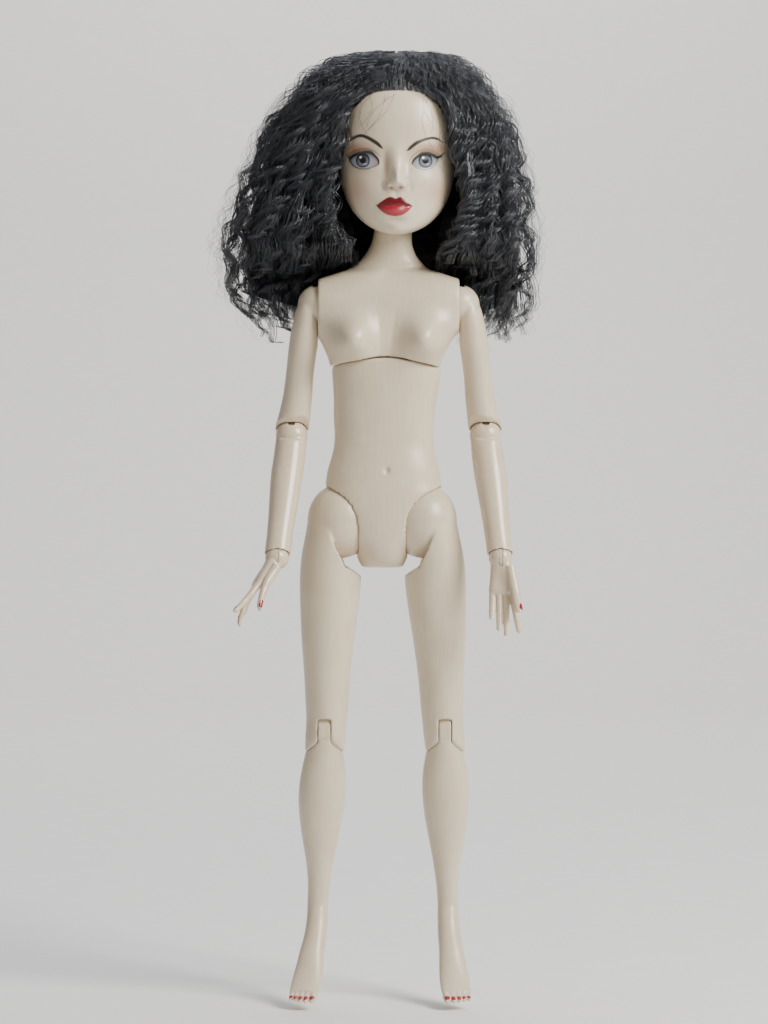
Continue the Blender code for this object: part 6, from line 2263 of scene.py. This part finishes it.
            start = self._hairline(side)
            across = share[:, 0]
            x = start[0] + (reach * across + bow * np.sin(pi * across)) * MM
            z = start[2] - drop * across * MM
            y = self._brow(x, z) - 0.35 * MM
            bundle.add(np.stack([x, y, z], axis=-1), np.full(len(x), 0.05 * MM))
        for name, strands in (("hair_crown_combed", bundle), ("hair_crown_curls", upper)):
            locks = strands.object(name)
            sweep(locks, tree, 3, finish)
            dress(locks, finish, "head", Slot.HAIR)

    def _attach(self, item: bpy.types.Object, material: bpy.types.Material) -> None:
        """Dresses a hanging bundle: gives it its material and keeps its place in its own mesh."""
        wear(item, material)
        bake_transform(item)
        log.info("%s: %d faces", item.name, len(item.data.polygons))


# Finishes


Inputs = dict[str | int, object]
Socket = bpy.types.NodeSocket


def fill(node: bpy.types.Node, inputs: Inputs) -> None:
    """Gives a node's inputs their values, or links them to another node's output."""
    for name, value in inputs.items():
        if isinstance(value, Socket):
            node.id_data.links.new(value, node.inputs[name])
        else:
            node.inputs[name].default_value = value


def add_node(
    tree: bpy.types.NodeTree, kind: str, inputs: Inputs | None = None, **settings: object
) -> bpy.types.Node:
    """Adds a node.

    Args:
        tree: the node tree.
        kind: the node's type name.
        inputs: a value or another node's output for each input, by the input's name or place.
        settings: properties of the node.

    Returns:
        The node.
    """
    node = tree.nodes.new(kind)
    for name, value in settings.items():
        setattr(node, name, value)
    fill(node, inputs or {})
    return node


class Finish:
    """A new material with a bare Principled shader, and the nodes that the finishes share."""

    def __init__(self, name: str) -> None:
        """Makes the material and reads Object coordinates."""
        self.material = bpy.data.materials.new(name)
        self.material.use_nodes = True
        self.tree = self.material.node_tree
        self.place = self.add("TexCoord").outputs["Object"]

    def add(self, kind: str, inputs: Inputs | None = None, **settings: object) -> bpy.types.Node:
        """Returns a new shader node."""
        return add_node(self.tree, f"ShaderNode{kind}", inputs, **settings)

    def maths(self, operation: str, inputs: Inputs) -> Socket:
        """Returns the result of a sum on numbers."""
        return self.add("Math", inputs, operation=operation).outputs[0]

    def noise(
        self, scale: float, detail: float, stretch: Sequence[float] | None = None, place: Socket | None = None
    ) -> Socket:
        """Adds a noise pattern.

        Args:
            scale: how fine it is.
            detail: how many finer layers it has.
            stretch: its fineness along X, Y and Z, or None where it's even.
            place: where it's read, or None for Object coordinates.

        Returns:
            The pattern, from 0 to 1.
        """
        place = self.place if place is None else place
        if stretch:
            place = self.add("Mapping", {"Vector": place, "Scale": stretch}).outputs[0]
        return self.add("TexNoise", {"Vector": place, "Scale": scale, "Detail": detail}).outputs["Fac"]

    def ranged(self, value: Socket, start: float, end: float, **source: float) -> Socket:
        """Returns a value moved into the range from start to end."""
        named = {f"From {side.title()}": limit for side, limit in source.items()}
        return self.add("MapRange", {"Value": value, "To Min": start, "To Max": end, **named}).outputs[0]

    def mix(self, share: Socket, first: object, second: object, kind: str = "RGBA") -> Socket:
        """Returns a mix of two colours or numbers, hex codes too, by a share."""
        a, b = (linear(value) if isinstance(value, str) else value for value in (first, second))
        return self.add("Mix", {"Factor": share, "A": a, "B": b}, data_type=kind).outputs["Result"]

    def relief(self, height: Socket, strength: float, distance: float) -> Socket:
        """Returns a bumped normal."""
        return self.add("Bump", {"Height": height, "Strength": strength, "Distance": distance}).outputs[0]

    def shade(self, inputs: Inputs) -> bpy.types.Material:
        """Returns the material, its shader's inputs filled in."""
        fill(self.tree.nodes["Principled BSDF"], inputs)
        return self.material


@dataclass(frozen=True)
class Vinyl:
    """Injection-moulded hard vinyl: satin cream, with faint flow streaks along the limb and fine grain."""

    name: str
    base: str
    shade: str
    roughness: float
    coat: float
    streak: float = 0.9 * MM
    streak_length: float = 24 * MM
    mottle: float = 14 * MM
    grain: float = 0.5 * MM
    paint_roughness: float = 0.16

    def build(self, painted: bool = False) -> bpy.types.Material:
        """Builds the material.

        Args:
            painted: whether a colour attribute named paint lies over the skin, with its gloss in another.

        Returns:
            The material.
        """
        made = Finish(self.name)
        streaks = made.noise(1.0, 3.0, (1 / self.streak, 1 / self.streak, 1 / self.streak_length))
        mixed = made.maths("MULTIPLY", {0: streaks, 1: made.noise(1 / self.mottle, 2.0)})
        colour = made.mix(made.ranged(mixed, 0, 1, min=0.10, max=0.42), self.shade, self.base)
        rough = made.ranged(streaks, self.roughness - 0.03, self.roughness + 0.04, min=0.3, max=0.7)
        if painted:
            paint = made.add("Attribute", attribute_name="paint").outputs
            gloss = made.add("Attribute", attribute_name="gloss").outputs["Fac"]
            colour = made.mix(paint["Alpha"], colour, paint["Color"])
            rough = made.mix(gloss, rough, self.paint_roughness, "FLOAT")
        return made.shade({
            "Base Color": colour, "Roughness": rough, "IOR": 1.5,
            "Coat Weight": self.coat, "Coat Roughness": 0.22,
            "Normal": made.relief(made.noise(1 / self.grain, 2.0), 0.06, 0.02 * MM),
            "Subsurface Weight": 0.12, "Subsurface Radius": (1.0, 0.5, 0.3), "Subsurface Scale": 1.5 * MM,
        })


@dataclass(frozen=True)
class Lacquer:
    """Brushed-on nail lacquer: deep red, wet gloss, a little thinner and lighter in places."""

    name: str
    base: str
    thin: str
    patch: float = 0.8 * MM

    def build(self) -> bpy.types.Material:
        """Builds the material."""
        made = Finish(self.name)
        patches = made.noise(1 / self.patch, 2.0)
        return made.shade({
            "Base Color": made.mix(patches, self.base, self.thin),
            "Normal": made.relief(patches, 0.15, 0.02 * MM),
            "Roughness": 0.14, "Coat Weight": 0.6, "Coat Roughness": 0.06,
        })


@dataclass(frozen=True)
class Steel:
    """Drawn steel pin stock: bright, with fine drawing lines round it."""

    name: str
    base: str
    line: float = 0.15 * MM

    def build(self) -> bpy.types.Material:
        """Builds the material."""
        made = Finish(self.name)
        rough = made.ranged(made.noise(1 / self.line, 1.0), 0.24, 0.42)
        return made.shade({"Base Color": linear(self.base), "Roughness": rough, "Metallic": 1.0})


@dataclass(frozen=True)
class Fibre:
    """Crimped synthetic hair fibre: near black, with a blue-grey shine along the waves."""

    name: str
    base: str
    tip: str
    roughness: float
    shine: float = 0.9
    sheen: float = 0.12
    relief: float = 0.2 * MM
    wave: float = 0.0
    crimp: float = 12 * MM
    streak: float = 0.35 * MM

    def _crimped(self, made: Finish) -> Socket:
        """Returns the place swung sideways along the height, so that upright streaks run in waves."""
        height = made.add("SeparateXYZ", {0: made.place}).outputs["Z"]
        late = made.maths("MULTIPLY", {0: made.noise(0.4 / self.crimp, 1.0), 1: 14.0})
        phase = made.maths("MULTIPLY_ADD", {0: height, 1: 2 * pi / self.crimp, 2: late})
        across, deep = (made.maths(name, {0: phase}) for name in ("SINE", "COSINE"))
        swing = made.add("CombineXYZ", {0: across, 1: deep})
        size = made.add("VectorMath", {0: swing.outputs[0], "Scale": self.wave}, operation="SCALE")
        return made.add("VectorMath", {0: made.place, 1: size.outputs[0]}, operation="ADD").outputs[0]

    def build(self) -> bpy.types.Material:
        """Builds the material."""
        made = Finish(self.name)
        stretch = (1 / self.streak, 1 / self.streak, 0.25 / self.streak)
        streaks = made.noise(1.0, 4.0, stretch, self._crimped(made))
        return made.shade({
            "Base Color": made.mix(streaks, self.base, self.tip),
            "Roughness": made.ranged(streaks, self.roughness - 0.08, self.roughness + 0.12),
            "Normal": made.relief(streaks, 0.8, self.relief),
            "IOR": 1.55, "Specular IOR Level": self.shine,
            "Sheen Weight": self.sheen, "Sheen Roughness": 0.4, "Sheen Tint": linear("8c9bb5"),
        })


# Scene


class Lamp(NamedTuple):
    """A soft square light: where it stands, its side, its power in watts, its colour and what it faces."""

    name: str
    place: tuple[float, float, float]
    size: float
    power: float
    colour: str
    target: tuple[float, float, float]

    def add(self) -> None:
        """Adds the light to the scene."""
        lamp = bpy.data.lights.new(self.name, "AREA")
        lamp.size = self.size
        lamp.energy = self.power
        lamp.color = linear(self.colour)[:3]
        light = linked(self.name, lamp)
        light.location = self.place
        aim = Vector(self.target) - Vector(self.place)
        light.rotation_euler = aim.to_track_quat("-Z", "Y").to_euler()


DOLL_MIDDLE, BACKDROP_MIDDLE = (0, 0, 50 * MM), (0, 2.5, 0.45)
LAMPS = (
    Lamp("key_window", (1.05, -0.75, 0.85), 0.75, 40.0, "fbfaf6", DOLL_MIDDLE),
    Lamp("fill_window", (-1.1, -1.0, 0.35), 1.3, 0.8, "ffe6c8", DOLL_MIDDLE),
    Lamp("top_window", (0.1, 0.25, 1.25), 0.7, 8.0, "e8eeff", DOLL_MIDDLE),
    Lamp("backdrop_lamp", (0.0, 1.4, 1.7), 1.2, 34.0, "ffffff", BACKDROP_MIDDLE),
)


@dataclass
class Studio:
    """A pale floor that curves up behind the doll, soft light from the upper right, and the camera."""

    sensor: float = 36.0
    floor_z: float = -243.5 * MM
    half_width: float = 2.8
    back: float = 2.0
    bend: float = 0.6
    height: float = 2.8

    def build(self) -> None:
        """Builds the backdrop, the lights and the camera."""
        self._add_sweep()
        for lamp in LAMPS:
            lamp.add()
        world = bpy.data.worlds.new("room")
        world.use_nodes = True
        fill(world.node_tree.nodes["Background"], {"Color": linear("dfe3ea"), "Strength": 0.30})
        bpy.context.scene.world = world
        lens = bpy.data.cameras.new("camera")
        lens.sensor_width = self.sensor
        lens.sensor_fit = "AUTO"
        lens.lens = self.sensor * CAMERA_DISTANCE / (PHOTO_HEIGHT * PIXEL)
        lens.clip_start = 0.05
        camera = linked("camera", lens)
        camera.location = (0, -CAMERA_DISTANCE, CAMERA_Z)
        camera.rotation_euler = (radians(90), 0, 0)
        bpy.context.scene.camera = camera

    def _add_sweep(self) -> None:
        """Adds the floor and backdrop as one curved sheet."""
        profile = [(-2.6, self.floor_z), (self.back, self.floor_z)]
        for step in range(1, 25):
            angle = radians(90) * step / 24
            profile.append((self.back + self.bend * sin(angle), self.floor_z + self.bend * (1 - cos(angle))))
        profile.append((self.back + self.bend, self.floor_z + self.height))
        points = [(x, y, z) for y, z in profile for x in (-self.half_width, self.half_width)]
        faces = [(2 * row, 2 * row + 1, 2 * row + 3, 2 * row + 2) for row in range(len(profile) - 1)]
        sweep = Shape(np.array(points), faces).object("backdrop")
        sweep.data.shade_smooth()
        paper = Finish("matt_backdrop_paper")
        colour = paper.mix(paper.noise(60.0, 3.0), "ebe9e5", "f0eeea")
        sweep.data.materials.append(paper.shade({"Base Color": colour, "Roughness": 0.9}))


def dress_fittings(fitting: bpy.types.Material, steel: bpy.types.Material) -> None:
    """Gives the CAD hubs, studs and pins that stay their finishes.

    Args:
        fitting: the hubs' and studs' finish.
        steel: the pins' finish.
    """
    for name, node in frame["nodes"].items():
        if name.endswith(("_hub", "_stud")):
            wear(node, fitting)
        elif name.endswith("_pin"):
            wear(node, steel)


def main() -> None:
    """Builds the studio and every piece of the doll."""
    skin = Vinyl("satin_cream_vinyl", "deceb3", "d3c2a7", 0.34, 0.2).build()
    gloss = Vinyl("glossy_cream_plastic", "dfccb0", "d6c2a6", 0.24, 0.4).build()
    lacquer = Lacquer("red_nail_lacquer", "8c1220", "a81c2a").build()
    fitting = Vinyl("moulded_nylon", "d8c7ac", "cfbda2", 0.40, 0.0).build()
    steel = Steel("drawn_steel", "b4b4b6").build()
    Studio().build()
    dress(Torso().build(), skin, "lower_torso", Slot.SKIN, "lower_torso")
    dress(Chest().build(), skin, "chest", Slot.SKIN, "chest")
    for side in Side:
        word = side.word
        dress(UpperArm(side).build(), skin, f"{word}_upper_arm", Slot.SKIN, f"{word}_upper_arm")
        dress(Forearm(side).build(), gloss, f"{word}_forearm", Slot.GLOSS_SKIN, f"{word}_forearm")
        hand = Hand(side)
        hand_item = hand.build()
        dress(hand.nails(hand_item), lacquer, f"{word}_hand", Slot.GLOSS_SKIN)
        dress(hand_item, gloss, f"{word}_hand", Slot.GLOSS_SKIN, f"{word}_hand")
        dress(Hub(side).build(), fitting, f"{word}_elbow_hub", Slot.FITTING, f"{word}_elbow_hub")
        dress(Thigh(side).build(), skin, f"{word}_thigh", Slot.SKIN, f"{word}_thigh")
        shin = Shin(side)
        shin_item = shin.build()
        dress(shin.nails(shin_item), lacquer, f"{word}_shin", Slot.SKIN)
        dress(shin_item, skin, f"{word}_shin", Slot.SKIN, f"{word}_shin")
    face = Vinyl("painted_cream_vinyl", "dfcfb5", "d9c8ae", 0.34, 0.14).build(painted=True)
    dress(Head().build(), face, "head", Slot.SKIN, "head")
    fibre = Fibre("black_crimped_fibre", "0a0a0c", "2c3038", 0.28, 1.0).build()
    # the inner mass is black hair, coloured darker than the fibres as painted shade deep in the hair
    shade = Fibre("black_hair_mass", "040405", "0b0b0e", 0.42, 0.35, 0.0, 0.5 * MM, 2.2 * MM).build()
    Wig().build(fibre, shade)
    dress_fittings(fitting, steel)


if __name__ == "__main__":
    main()
